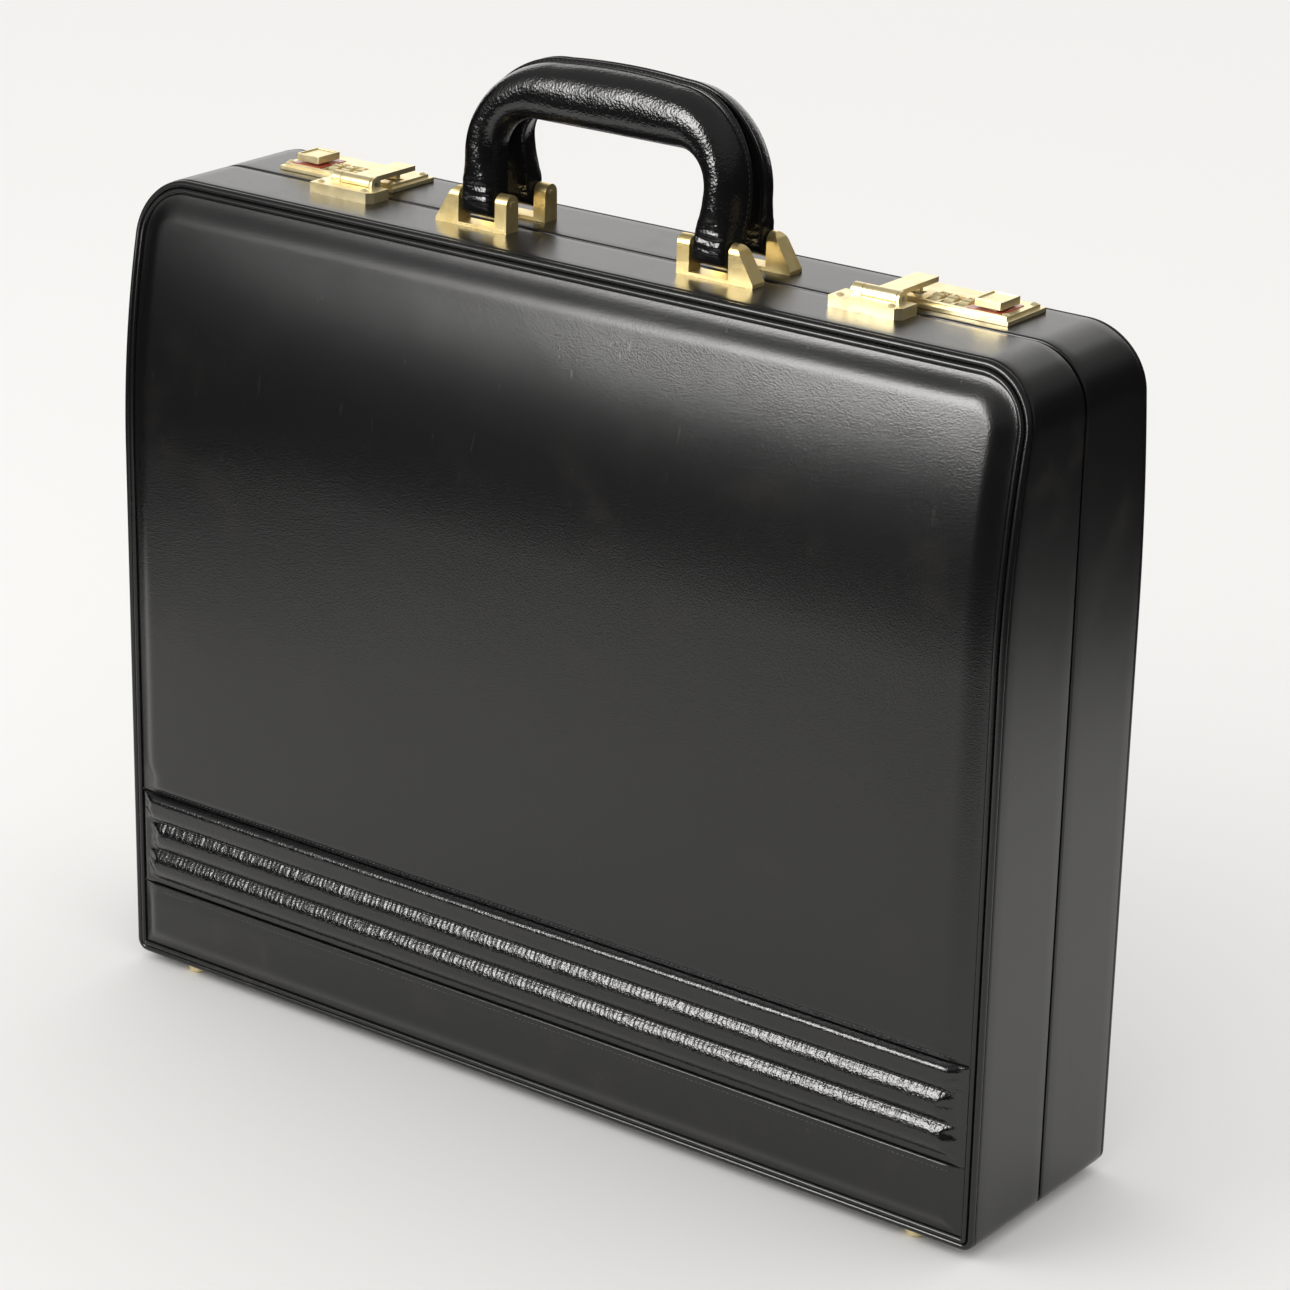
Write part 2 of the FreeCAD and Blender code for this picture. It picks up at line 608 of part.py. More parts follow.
def make_lock_cases():
    """The two hidden lock bodies under the lock plates."""
    z, w = TOP_Z, CASE_WALL
    case = box(CASE_X, CASE_Y, (z + CASE_LOW, z))
    dials = dial_centres()
    half = DIAL_W / 2 + DIAL_GAP
    room = DIAL_R + DIAL_GAP
    case = case.cut(box((dials[0] - half, dials[-1] + half), (DIAL_Y - room, DIAL_Y + room),
                        (z + CASE_LOW + w, z + OVER)))
    case = case.cut(button_window((z + STEM_LOW - DIAL_GAP, z + OVER)))
    case = case.cut(rod_x(dials[0] - half - w, dials[-1] + half + w, DIAL_Y, z + DIAL_Z, SPINDLE_R))
    save("lock_cases", Part.makeCompound([mirrored(case, hand) for hand in (-1, 1)]))
    spindle = rod_x(dials[0] - half - w, dials[-1] + half + w, DIAL_Y, z + DIAL_Z, SPINDLE_R)
    save("dial_spindles", Part.makeCompound([mirrored(spindle, hand) for hand in (-1, 1)]))


def make_dial(hand, number):
    """One serrated dial wheel; number counts from the hasp outwards."""
    x = dial_centres()[number - 1] - DIAL_W / 2
    points = []
    for i in range(2 * DIAL_TEETH):
        r = DIAL_R if i % 2 else DIAL_R - DIAL_NOTCH
        a = math.pi * i / DIAL_TEETH
        points.append(Vector(x, DIAL_Y + r * math.cos(a), TOP_Z + DIAL_Z + r * math.sin(a)))
    wheel = prism(points, Vector(DIAL_W, 0, 0))
    wheel = wheel.cut(rod_x(x - OVER, x + DIAL_W + OVER, DIAL_Y, TOP_Z + DIAL_Z, SPINDLE_R + RUNNING))
    save(f"{HAND_NAME[hand]}_dial_{number}", mirrored(wheel, hand))


def make_button(hand):
    """Square release button with a dished top, on a stem."""
    z = TOP_Z
    x = (BUTTON_X - BUTTON_W / 2, BUTTON_X + BUTTON_W / 2)
    y = (BUTTON_Y - BUTTON_D / 2, BUTTON_Y + BUTTON_D / 2)
    block = box(x, y, (z + BUTTON_Z[0], z + BUTTON_Z[1]))
    block = block.makeFillet(BUTTON_CORNER, [e for e in block.Edges if e.BoundBox.ZLength > OVER])
    r = BUTTON_RIM
    top = z + BUTTON_Z[1]
    block = block.cut(box((x[0] + r, x[1] - r), (y[0] + r, y[1] - r), (top - BUTTON_DISH, top + OVER)))
    stem = box((BUTTON_X - STEM_W / 2, BUTTON_X + STEM_W / 2),
               (BUTTON_Y - STEM_D / 2, BUTTON_Y + STEM_D / 2), (z + STEM_LOW, z + BUTTON_Z[0] + OVER))
    save(f"{HAND_NAME[hand]}_button", mirrored(fused([block, stem]), hand))


def make_indicators():
    """The red enamel sheets that show beside the buttons."""
    z = (TOP_Z + PLATE_T, TOP_Z + PLATE_T + STRIP_T)
    strip = box(STRIP_X, STRIP_Y, z).cut(button_window((z[0] - OVER, z[1] + OVER)))
    save("lock_indicators", Part.makeCompound([mirrored(strip, hand) for hand in (-1, 1)]))


# ---- rivets -----------------------------------------------------------------
def dome(x, y, z, up):
    """Low rivet head, on a surface that faces up (+1) or down (-1)."""
    radius = (RIVET_R ** 2 + RIVET_H ** 2) / (2 * RIVET_H)
    ball = Part.makeSphere(radius, Vector(x, y, z + up * (RIVET_H - radius)))
    near = 2 * RIVET_R
    return ball.common(box((x - near, x + near), (y - near, y + near), (z, z + up * near)))


def hinge_rivets(side):
    """Rivet heads along one hinge leaf."""
    length = 2 * HINGE_HALF_L / KNUCKLES
    half = KNUCKLES // 2
    y = side * (LEAF_DEPTH - 2 * RIVET_R)
    return [dome(i * length, y, UNDER_Z - LEAF_T, -1) for i in range(-half, half + 1, 2)]


def make_rivets():
    """Rivet heads of the catch plates, lock plates and hinge leaves."""
    front, rear = hinge_rivets(-1), hinge_rivets(1)
    edge = 2 * RIVET_R
    for hand in (-1, 1):
        x = hand * CATCH_X
        y = -CATCH_DEPTH[1] + edge
        for px in (x - CATCH_HALF_L + edge, x + CATCH_HALF_L - edge - CATCH_CHAMFER):
            front.append(dome(px, y, TOP_Z + CATCH_H, 1))
        for px in (PLATE_X[0] + edge, PLATE_X[1] - edge):
            for py in (PLATE_Y[0] + edge, PLATE_Y[1] - edge):
                rear.append(dome(hand * px, py, TOP_Z + PLATE_T, 1))
    save("front_rivets", Part.makeCompound(front))
    save("rear_rivets", Part.makeCompound(rear))


def main():
    os.makedirs("parts", exist_ok=True)
    for side in (-1, 1):
        make_half(side)
        make_feet(side)
        make_leaf(side)
        make_stay_mounts(side)
        make_handle(side)
        for hand in (-1, 1):
            make_bracket(side, hand)
            make_stay_link(side, hand)
    save("hinge_pin", rod_x(-HINGE_HALF_L, HINGE_HALF_L, 0, HINGE_Z, HINGE_PIN_R))
    make_pocket()
    for hand in (-1, 1):
        make_catch(hand)
        make_hasp(hand)
        make_lock_plate(hand)
        make_button(hand)
        for number in (1, 2, 3):
            make_dial(hand, number)
    make_hasp_pins()
    make_lock_cases()
    make_indicators()
    make_rivets()


main()
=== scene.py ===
import json
import math

import bmesh
import bpy
import numpy as np
from mathutils import Matrix, Vector, noise
from mathutils.bvhtree import BVHTree

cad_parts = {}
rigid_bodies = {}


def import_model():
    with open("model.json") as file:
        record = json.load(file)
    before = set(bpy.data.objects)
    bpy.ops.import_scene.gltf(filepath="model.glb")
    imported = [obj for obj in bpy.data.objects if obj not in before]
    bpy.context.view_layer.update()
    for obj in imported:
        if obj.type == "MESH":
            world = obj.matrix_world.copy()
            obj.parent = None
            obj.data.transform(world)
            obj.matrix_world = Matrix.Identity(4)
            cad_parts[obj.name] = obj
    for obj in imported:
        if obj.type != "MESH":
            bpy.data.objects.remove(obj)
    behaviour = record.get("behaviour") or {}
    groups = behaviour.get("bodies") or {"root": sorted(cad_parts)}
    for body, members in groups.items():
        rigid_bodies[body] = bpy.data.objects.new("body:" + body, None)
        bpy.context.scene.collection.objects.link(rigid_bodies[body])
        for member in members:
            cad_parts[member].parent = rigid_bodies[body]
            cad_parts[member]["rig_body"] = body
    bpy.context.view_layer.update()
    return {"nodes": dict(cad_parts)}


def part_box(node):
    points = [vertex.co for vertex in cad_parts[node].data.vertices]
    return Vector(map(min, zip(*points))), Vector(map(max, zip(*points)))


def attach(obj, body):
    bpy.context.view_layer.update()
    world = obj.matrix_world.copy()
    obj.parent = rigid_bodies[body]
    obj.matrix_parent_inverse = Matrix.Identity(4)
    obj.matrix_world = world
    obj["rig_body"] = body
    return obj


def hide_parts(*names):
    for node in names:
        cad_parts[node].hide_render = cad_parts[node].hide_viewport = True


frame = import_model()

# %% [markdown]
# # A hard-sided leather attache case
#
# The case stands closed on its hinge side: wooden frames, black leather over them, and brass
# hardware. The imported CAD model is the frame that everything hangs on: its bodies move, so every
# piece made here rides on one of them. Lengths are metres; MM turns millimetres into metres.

MM = 0.001
SIDES = {"front": -1, "rear": 1}
HANDS = {"left": -1, "right": 1}
nodes = frame["nodes"]

# %% [markdown]
# ## The case's two curves
#
# Seen from the front, the case is a rectangle with two large round corners at the top and two
# small ones at the bottom. Seen from the side, each face is upright up to a certain height and
# then leans in towards the seam on a large arc. Every leather part follows these two curves.

# %% Sizes read from the frame
leather_low, leather_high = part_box("front_side_leather")
HALF_W = leather_high.x
UNDER_Z = leather_low.z
TOP_Z = leather_high.z
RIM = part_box("rear_piping")[1].y
BEND_Z = UNDER_Z + 240 * MM
TOP_CORNER = 25.5 * MM
BOTTOM_CORNER = 5.5 * MM
LEAST_CORNER = 0.6 * MM


RISE = TOP_Z - BEND_Z
LEAN = {}
for side_name, side in SIDES.items():
    piping = nodes[f"{side_name}_piping"].data.vertices
    drop = RIM - max(abs(v.co.y) for v in piping if v.co.z > TOP_Z - 0.1 * MM)
    LEAN[side] = (RISE ** 2 + drop ** 2) / (2 * drop)
    print(f"{side_name}: leans in {drop / MM:.1f} mm on a radius of {LEAN[side] / MM:.0f} mm")


def rim_depth(side, z):
    """Depth of the rim from the seam plane at height z, for a number or an array."""
    over = np.clip(np.asarray(z, float) - BEND_Z, 0, None)
    return RIM - (LEAN[side] - np.sqrt(LEAN[side] ** 2 - over ** 2))


# %% The outline, shrunk by any inset, always with the same number of points
CORNER_STEPS = {TOP_CORNER: 28, BOTTOM_CORNER: 8}
RUN_STEPS = (110, 150, 110, 150)


def outline(inset):
    """An array of points (x, z) round the case, seen from the front."""
    points, arcs = [], []
    for i, (sx, sz) in enumerate([(1, -1), (1, 1), (-1, 1), (-1, -1)]):
        corner = TOP_CORNER if sz > 0 else BOTTOM_CORNER
        r = max(corner - inset, LEAST_CORNER)
        edge_z = TOP_Z - inset - r if sz > 0 else UNDER_Z + inset + r
        angles = np.radians(np.linspace(90 * i - 90, 90 * i, CORNER_STEPS[corner] + 1))
        middle = np.array([sx * (HALF_W - inset - r), edge_z])
        arcs.append(middle + r * np.column_stack([np.cos(angles), np.sin(angles)]))
    for i, arc in enumerate(arcs):
        points.append(arc)
        share = np.linspace(0, 1, RUN_STEPS[i] + 1)[1:-1, None]
        points.append(arc[-1] + share * (arcs[(i + 1) % 4][0] - arc[-1]))
    return np.concatenate(points)


print("outline points:", len(outline(0)))

# %% [markdown]
# ## Small helpers
#
# A mesh is made from a list of points and a list of faces. Grids, tubes and swept hoops only
# differ in how their points are laid out, so one function joins rows of points with quads.


# %% Mesh helpers
def added(name, data):
    """A new object in the scene."""
    piece = bpy.data.objects.new(name, data)
    bpy.context.scene.collection.objects.link(piece)
    return piece


def mesh_data(name, points, faces, edges=()):
    """A new mesh from plain lists."""
    data = bpy.data.meshes.new(name)
    data.from_pydata([tuple(p) for p in points], edges, faces)
    return data


def turned_out(piece):
    """Turns a piece's faces outwards and shades them smooth."""
    work = bmesh.new()
    work.from_mesh(piece.data)
    bmesh.ops.recalc_face_normals(work, faces=work.faces)
    for face in work.faces:
        face.smooth = True
    work.to_mesh(piece.data)
    work.free()
    return piece


def mesh_piece(name, points, faces):
    """A new piece whose mesh is already in its place on the case."""
    return turned_out(added(name, mesh_data(name, points, faces)))


def quads(rows, columns, close_rows=False, close_columns=False):
    """Faces that join a table of points, row by row."""
    faces = []
    for r in range(rows if close_rows else rows - 1):
        below, above = r * columns, (r + 1) % rows * columns
        for c in range(columns if close_columns else columns - 1):
            d = (c + 1) % columns
            faces.append((below + c, below + d, above + d, above + c))
    return faces


def add_modifier(piece, kind, **settings):
    """Adds a modifier with its settings."""
    modifier = piece.modifiers.new(kind.title(), kind)
    for key, value in settings.items():
        setattr(modifier, key, value)
    return modifier


def settled(piece):
    """Turns a piece with modifiers into a plain mesh."""
    shown = piece.evaluated_get(bpy.context.evaluated_depsgraph_get())
    old, piece.data = piece.data, bpy.data.meshes.new_from_object(shown)
    piece.modifiers.clear()
    bpy.data.meshes.remove(old)
    return piece


def cut_out(piece, cutters):
    """Cuts closed shapes out of a piece and removes them."""
    for cutter in cutters:
        add_modifier(piece, "BOOLEAN", operation="DIFFERENCE", solver="EXACT", object=cutter)
        settled(piece)
        bpy.data.objects.remove(cutter)
    return piece


def sliced(work, faces, heights):
    """Cuts a flat face into strips at those heights, so that it can bend."""
    for height in heights:
        geom = set(faces)
        for face in faces:
            geom.update(face.edges, face.verts)
        cut = bmesh.ops.bisect_plane(work, geom=list(geom), plane_co=(0, 0, height), plane_no=(0, 0, 1))
        faces = [g for g in cut["geom"] if isinstance(g, bmesh.types.BMFace)]


def ended_tube(name, points, count):
    """A piece from rings of so many points each, closed at both ends."""
    faces = quads(len(points) // count, count, close_columns=True)
    faces += [tuple(range(count)), tuple(range(len(points) - count, len(points)))]
    return mesh_piece(name, points, faces)


def block(low, high):
    """A plain box, for cutting."""
    corners = [(x, y, z) for x in (low[0], high[0]) for y in (low[1], high[1]) for z in (low[2], high[2])]
    faces = [(0, 1, 3, 2), (4, 6, 7, 5), (0, 4, 5, 1), (2, 3, 7, 6), (0, 2, 6, 4), (1, 5, 7, 3)]
    return mesh_piece("cutter", corners, faces)


def wander(x, y, size, seed=0.0):
    """Smooth noise from -1 to 1 at arrays of places, with features of about that size."""
    size = np.broadcast_to(size, (2,))
    flat = zip(np.ravel(x) / size[0], np.ravel(y) / size[1])
    return np.array([noise.noise((a, b, seed)) for a, b in flat]).reshape(np.shape(x))


def smooth(t):
    """0 below 0, 1 above 1, with soft ends."""
    t = np.clip(t, 0, 1)
    return t * t * (3 - 2 * t)


def placed(piece, body, material, stands_for=()):
    """Gives a finished piece its finish and its body, and hides the CAD parts it stands for."""
    piece.data.materials.clear()
    piece.data.materials.append(material)
    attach(piece, body)
    if stands_for:
        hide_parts(*stands_for)
    triangles = sum(len(p.vertices) - 2 for p in piece.data.polygons)
    print(f"{piece.name}: {triangles} triangles on {body}")
    return piece


# %% [markdown]
# ## Writing shaders as sums
#
# A finish is a network of nodes. A small class wraps one socket and turns Python's own operators
# into Math nodes, so that `1 - mask * 0.3` is written as it is thought. Every other node comes
# from one method, which takes its type, its settings and the values or links of its inputs.


# %% The socket and finish classes
class Wire:
    """A value in a finish: Python's operators add the Math nodes."""

    def __init__(self, finish, socket):
        self.finish, self.socket = finish, socket

    def maths(self, operation, *values):
        return self.finish.node("ShaderNodeMath", {"operation": operation}, dict(enumerate(values)))

    def __add__(self, other):
        return self.maths("ADD", self, other)

    def __sub__(self, other):
        return self.maths("SUBTRACT", self, other)

    def __rsub__(self, other):
        return self.maths("SUBTRACT", other, self)

    def __mul__(self, other):
        return self.maths("MULTIPLY", self, other)

    def above(self, low, high):
        """0 below low, 1 above high, smooth between."""
        return self.finish.node("ShaderNodeMapRange", {"interpolation_type": "SMOOTHSTEP"},
                                {"Value": self, "From Min": low, "From Max": high})

    __radd__ = __add__


class Finish:
    """A material being built."""

    def __init__(self, name):
        self.material = bpy.data.materials.new(name)
        self.material.use_nodes = True
        self.tree = self.material.node_tree
        self.tree.nodes.clear()
        self.place = self.node("ShaderNodeTexCoord", output="Object")
        self.height = self.node("ShaderNodeSeparateXYZ", None, {"Vector": self.place}, "Z")

    def node(self, kind, settings=None, inputs=None, output=0):
        """Adds any node; inputs are values or wires, by socket name or number."""
        made = self.tree.nodes.new(kind)
        for key, value in (settings or {}).items():
            setattr(made, key, value)
        for key, value in (inputs or {}).items():
            if isinstance(value, Wire):
                self.tree.links.new(value.socket, made.inputs[key])
            else:
                made.inputs[key].default_value = value
        return Wire(self, made.outputs[output]) if made.outputs else None

    def stretched(self, *scale):
        """The place, stretched for a pattern that isn't the same in all directions."""
        return self.node("ShaderNodeMapping", None, {"Vector": self.place, "Scale": scale})

    def clouds(self, size, detail=3.0, roughness=0.5, where=None):
        """Noise with features of about that size."""
        return self.node("ShaderNodeTexNoise", None, {
            "Vector": where or self.place, "Scale": 1 / size, "Detail": detail, "Roughness": roughness})

    def cells(self, size):
        """Distance inside small cells of about that size."""
        return self.node("ShaderNodeTexVoronoi", {"feature": "SMOOTH_F1"}, {
            "Vector": self.place, "Scale": 1 / size}, "Distance")

    def mixed(self, amount, first, second):
        """One colour turning into another."""
        return self.node("ShaderNodeMix", {"data_type": "RGBA"}, {"Factor": amount, 6: first, 7: second}, 2)

    def raised(self, height, distance, under=None):
        """A bumped surface direction, on top of another one."""
        inputs = {"Height": height, "Distance": distance}
        if under:
            inputs["Normal"] = under
        return self.node("ShaderNodeBump", None, inputs)

    def done(self, **sockets):
        """Ends the finish in a Principled shader."""
        names = {key.replace("_", " "): value for key, value in sockets.items()}
        surface = self.node("ShaderNodeBsdfPrincipled", None, names)
        self.node("ShaderNodeOutputMaterial", None, {"Surface": surface})
        return self.material


# %% [markdown]
# ## The leathers
#
# All the leather is black and glossy, but the padded faces show a fine pebble grain, the narrow
# sides are pulled smooth over wood, and the ribs and handles have a deeper grain. A broader bump
# gives the soft waver of stretched leather, and a worn mask makes small patches duller, browner
# and dustier, mostly low down where a case is knocked.


# %% Leather finishes
BLACK, SCUFFED, DUSTY = (0.0055, 0.0054, 0.0056, 1), (0.020, 0.016, 0.0135, 1), (0.30, 0.27, 0.24, 1)
WORN_UP_TO = 90 * MM


def leather(name, shine, grain, relief, waver, wear, gloss=1.5):
    """Black leather. Shine is its roughness, grain and relief are its pebbles, in mm, waver is the
    depth of the broad bump, and gloss is the refractive index of its top coat."""
    f = Finish(name)
    pebbles = f.cells(grain * MM)
    pores = f.clouds(0.45 * grain * MM, 2.0)
    patches = f.clouds(38 * MM, 4.0, 0.62)
    scratches = f.clouds(3 * MM, 2.0, 0.6, f.stretched(1.0, 1.0, 0.16)).above(0.68, 0.76)
    low_down = 1 - f.height.above(UNDER_Z, UNDER_Z + WORN_UP_TO)
    worn = patches.above(0.54, 0.74) * (low_down * 0.55 + 0.35) * wear
    dust = f.clouds(1.6 * MM, 1.0).above(0.775, 0.80) * worn
    colour = f.mixed(dust, f.mixed(worn, BLACK, SCUFFED), DUSTY)
    rough = shine + (pores - 0.5) * 0.10 + worn * 0.10 + scratches * patches * 0.12 * wear
    broad = f.raised(f.clouds(26 * MM, 1.0), waver * MM)
    normal = f.raised(pebbles * 0.75 + pores * 0.35, relief * MM, broad)
    return f.done(Base_Color=colour, Roughness=rough, Normal=normal, IOR=gloss)


FACE_LEATHER = leather("face leather", 0.24, 0.65, 0.065, 0.10, 0.6, 1.54)
SIDE_LEATHER = leather("side leather", 0.30, 0.75, 0.026, 0.12, 1.0, 1.62)
RIB_LEATHER = leather("rib leather", 0.15, 0.85, 0.150, 0.06, 0.4, 1.58)
WELT_LEATHER = leather("welt leather", 0.25, 0.60, 0.030, 0.05, 0.8)
GRIP_LEATHER = leather("grip leather", 0.17, 1.0, 0.170, 0.08, 0.3, 1.57)
print("leathers:", len(bpy.data.materials))

# %% [markdown]
# ## The metals and the rest
#
# The cast handle brackets are slightly lumpy and stained deeper in patches, the stamped latches
# are flat and only lightly smeared by fingers, and the rivets are duller. Steel has brush lines.
# The metal edge at the seam is dark, the indicators are red enamel, and the lining is
# a plain weave.


# %% Metal finishes
def brass(name, tint, stain, shine, grain, lumps, metal):
    """Lacquered brass. Grain and lumps are the size and depth of its unevenness, in mm, and metal is
    how far it mirrors like bare metal."""
    f = Finish(name)
    smear = f.clouds(5 * MM, 4.0, 0.6)
    colour = f.mixed(f.clouds(7 * MM, 3.0).above(0.42, 0.78), tint, stain)
    pits = f.clouds(0.5 * MM, 2.0).above(0.66, 0.74)
    rough = shine + smear.above(0.35, 0.8) * 0.14 + pits * 0.12
    normal = f.raised(f.clouds(grain * MM, 3.0, 0.55), lumps * MM)
    return f.done(Base_Color=colour, Metallic=metal, Roughness=rough, Normal=normal)


def steel(name, tint, shine):
    """Metal with brush lines along X."""
    f = Finish(name)
    lines = f.clouds(0.6 * MM, 2.0, 0.6, f.stretched(0.04, 1.0, 1.0))
    rough = shine + (lines - 0.5) * 0.25 + f.clouds(9 * MM).above(0.5, 0.8) * 0.1
    colour = f.mixed(lines, tint, tuple(0.8 * c for c in tint[:3]) + (1,))
    return f.done(Base_Color=colour, Metallic=1.0, Roughness=rough, Normal=f.raised(lines, 0.02 * MM))


CAST_BRASS = brass("cast brass", (0.88, 0.70, 0.33, 1), (0.78, 0.57, 0.22, 1), 0.30, 0.60, 0.12, 0.88)
LATCH_BRASS = brass("polished brass", (0.92, 0.79, 0.47, 1), (0.85, 0.69, 0.37, 1), 0.30, 1.5, 0.02, 0.88)
RIVET_BRASS = brass("rivet brass", (0.92, 0.80, 0.50, 1), (0.84, 0.67, 0.34, 1), 0.42, 1.0, 0.02, 0.75)
STEEL = steel("brushed steel", (0.62, 0.62, 0.63, 1), 0.30)
EDGE_METAL = steel("dark edge metal", (0.035, 0.035, 0.037, 1), 0.38)


# %% Enamel, cloth, wood and thread
def enamel():
    """Red enamel, a little faded in patches."""
    f = Finish("red enamel")
    colour = f.mixed(f.clouds(4 * MM).above(0.4, 0.7), (0.36, 0.050, 0.028, 1), (0.42, 0.085, 0.045, 1))
    return f.done(Base_Color=colour, Roughness=0.25 + f.clouds(1 * MM) * 0.15, Coat_Weight=0.5)


def cloth(name, warp, weft, pitch):
    """Plain weave: two sets of ridges, across and along, on every face of the piece."""
    f = Finish(name)
    ridges = [f.node("ShaderNodeTexWave", {"bands_direction": axis}, {
        "Vector": f.place, "Scale": 0.314 / pitch, "Distortion": 0.6, "Detail": 1.0, "Detail Scale": 2.0})
        for axis in ("X", "Z", "Y")]
    weave = ridges[0] * ridges[1] + ridges[2] * 0.5
    colour = f.mixed(f.clouds(14 * MM, 4.0), warp, weft)
    normal = f.raised(weave + f.clouds(pitch, 2.0) * 0.6, 0.12 * MM)
    return f.done(Base_Color=colour, Roughness=0.82 + f.clouds(2 * MM) * 0.1, Normal=normal,
                  Sheen_Weight=0.35, Sheen_Roughness=0.5)


def wood():
    """Pale plywood with its grain along X."""
    f = Finish("plywood")
    grain = f.clouds(3 * MM, 4.0, 0.6, f.stretched(0.05, 1.0, 1.0))
    colour = f.mixed(grain, (0.52, 0.37, 0.22, 1), (0.36, 0.23, 0.12, 1))
    return f.done(Base_Color=colour, Roughness=0.55 + grain * 0.2, Normal=f.raised(grain, 0.08 * MM))


def thread():
    """Waxed black thread with its twist."""
    f = Finish("waxed thread")
    twist = f.clouds(0.35 * MM, 2.0)
    colour = f.mixed(twist, (0.016, 0.016, 0.017, 1), (0.055, 0.052, 0.050, 1))
    return f.done(Base_Color=colour, Roughness=0.22 + twist * 0.15, Normal=f.raised(twist, 0.06 * MM))


RED_ENAMEL = enamel()
LINING = cloth("lining weave", (0.150, 0.120, 0.095, 1), (0.205, 0.168, 0.135, 1), 0.55 * MM)
PLYWOOD = wood()
THREAD = thread()
print("finishes:", [m.name for m in bpy.data.materials])

# %% [markdown]
# ## The leather round the sides
#
# One strip of leather is glued round the four narrow sides of each half, from a soft edge at the
# seam to under the welt. Sweeping one closed section round the outline makes it. A point of the
# section is (inset, offset, share): its inset from the outside, and its depth from the seam
# plane, which is the offset plus a share of the rim's depth.


# %% Sweeping a section round the case
def swept_rings(side, section):
    """One ring of points round a half for each point of a section, in millimetres."""
    rings = []
    for inset, offset, share in section:
        ring = outline(inset * MM)
        depth = offset * MM + share * rim_depth(side, ring[:, 1])
        rings.append(np.column_stack([ring[:, 0], side * depth, ring[:, 1]]))
    return rings


def hoop(name, side, section):
    """A closed section swept round one half."""
    rings = swept_rings(side, section)
    faces = quads(len(rings), len(rings[0]), close_rows=True, close_columns=True)
    return mesh_piece(name, np.concatenate(rings), faces)


def arc(middle, radius, first, last, steps):
    """Points of a section's round stretch, from one angle to another, in degrees."""
    angles = np.radians(np.linspace(first, last, steps + 1))
    return [(middle[0] + radius * math.cos(a), middle[1] + radius * math.sin(a)) for a in angles]


# %% The side leathers
SEAM_EDGE = 0.9
SEAM_ROUND = 1.0
LEATHER_T = 1.2
TUCK = -3.1
side_section = [(LEATHER_T, SEAM_EDGE, 0)]
side_section += [(u, d, 0) for u, d in arc((SEAM_ROUND, SEAM_EDGE + SEAM_ROUND), SEAM_ROUND, 270, 180, 6)]
side_section += [(0, (1 - t) * (SEAM_EDGE + SEAM_ROUND) + t * TUCK, t) for t in np.linspace(0, 1, 9)[1:]]
side_section += [(u, w, 1) for u, w in arc((0.9, TUCK), 0.9, 180, 90, 5)[1:]]
side_section += [(LEATHER_T, TUCK, 1), (LEATHER_T, SEAM_EDGE + SEAM_ROUND, 0)]


def hinge_channel():
    """Room for the hinge knuckles, as a rod along the seam's lower edge."""
    pin_low, pin_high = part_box("hinge_pin")
    middle, reach, radius = (pin_low.z + pin_high.z) / 2, pin_high.x + 1 * MM, 2.1 * MM
    angles = np.radians(np.arange(0, 360, 15))
    ring = np.column_stack([radius * np.cos(angles), middle + radius * np.sin(angles)])
    return ended_tube("cutter", [(x, y, z) for x in (-reach, reach) for y, z in ring], len(ring))


def lock_wells():
    """The two openings in the rear top wall that the lock cases sit in."""
    wells = []
    for hand in HANDS.values():
        case = [abs(v.co.x) for v in nodes["lock_cases"].data.vertices]
        low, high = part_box("lock_cases")
        xs = sorted((hand * min(case), hand * max(case)))
        wells.append(block((xs[0], low.y, low.z), (xs[1], high.y, TOP_Z + 1 * MM)))
    return wells


for side_name, side in SIDES.items():
    cover = hoop(f"{side_name}_side_cover", side, side_section)
    cut_out(cover, [hinge_channel()] + (lock_wells() if side == 1 else []))
    placed(cover, f"{side_name}_half", SIDE_LEATHER, [f"{side_name}_side_leather"])

# %% [markdown]
# ## The welt
#
# Between the side and the padded face runs a double welt: two rounded cords of leather with a
# stitched groove between them. RIDGES gives each one's middle, as inset and height over the rim,
# and its radius.

# %% The welts
RIDGES = [((1.55, -0.95), 1.40), ((4.30, -0.30), 1.12)]
WELT_END = 5.45
WELT_BASE = -2.9
GROOVE = (3.0, -1.15)
welt_section = [(0.5, WELT_BASE)] + arc(*RIDGES[0], 215, -15, 14) + arc(*RIDGES[1], 205, -8, 12)
welt_section += [(WELT_END - 0.1, WELT_BASE)]
for side_name, side in SIDES.items():
    welt = hoop(f"{side_name}_double_welt", side, [(u, w, 1) for u, w in welt_section])
    placed(welt, f"{side_name}_half", WELT_LEATHER, [f"{side_name}_piping"])

# %% [markdown]
# ## The padded face
#
# The upper panel is leather over a layer of foam: it swells a few millimetres, rolls down into
# a valley along the welt, and dips at the seam above the ribs. It is laid out flat, as (x, swell,
# height), pinned at its rim, given a little slack and blown up, and how far a point may move is
# capped, as foam would hold it. Then it gets a back and is bent to the leaning face.


# %% Flat sheets and their bending
def swept_places(low, high, count):
    """Places from low to high, closer together towards both ends."""
    even = np.linspace(0, 1, count)
    return low + (high - low) * (0.55 * even + 0.45 * (1 - np.cos(math.pi * even)) / 2)


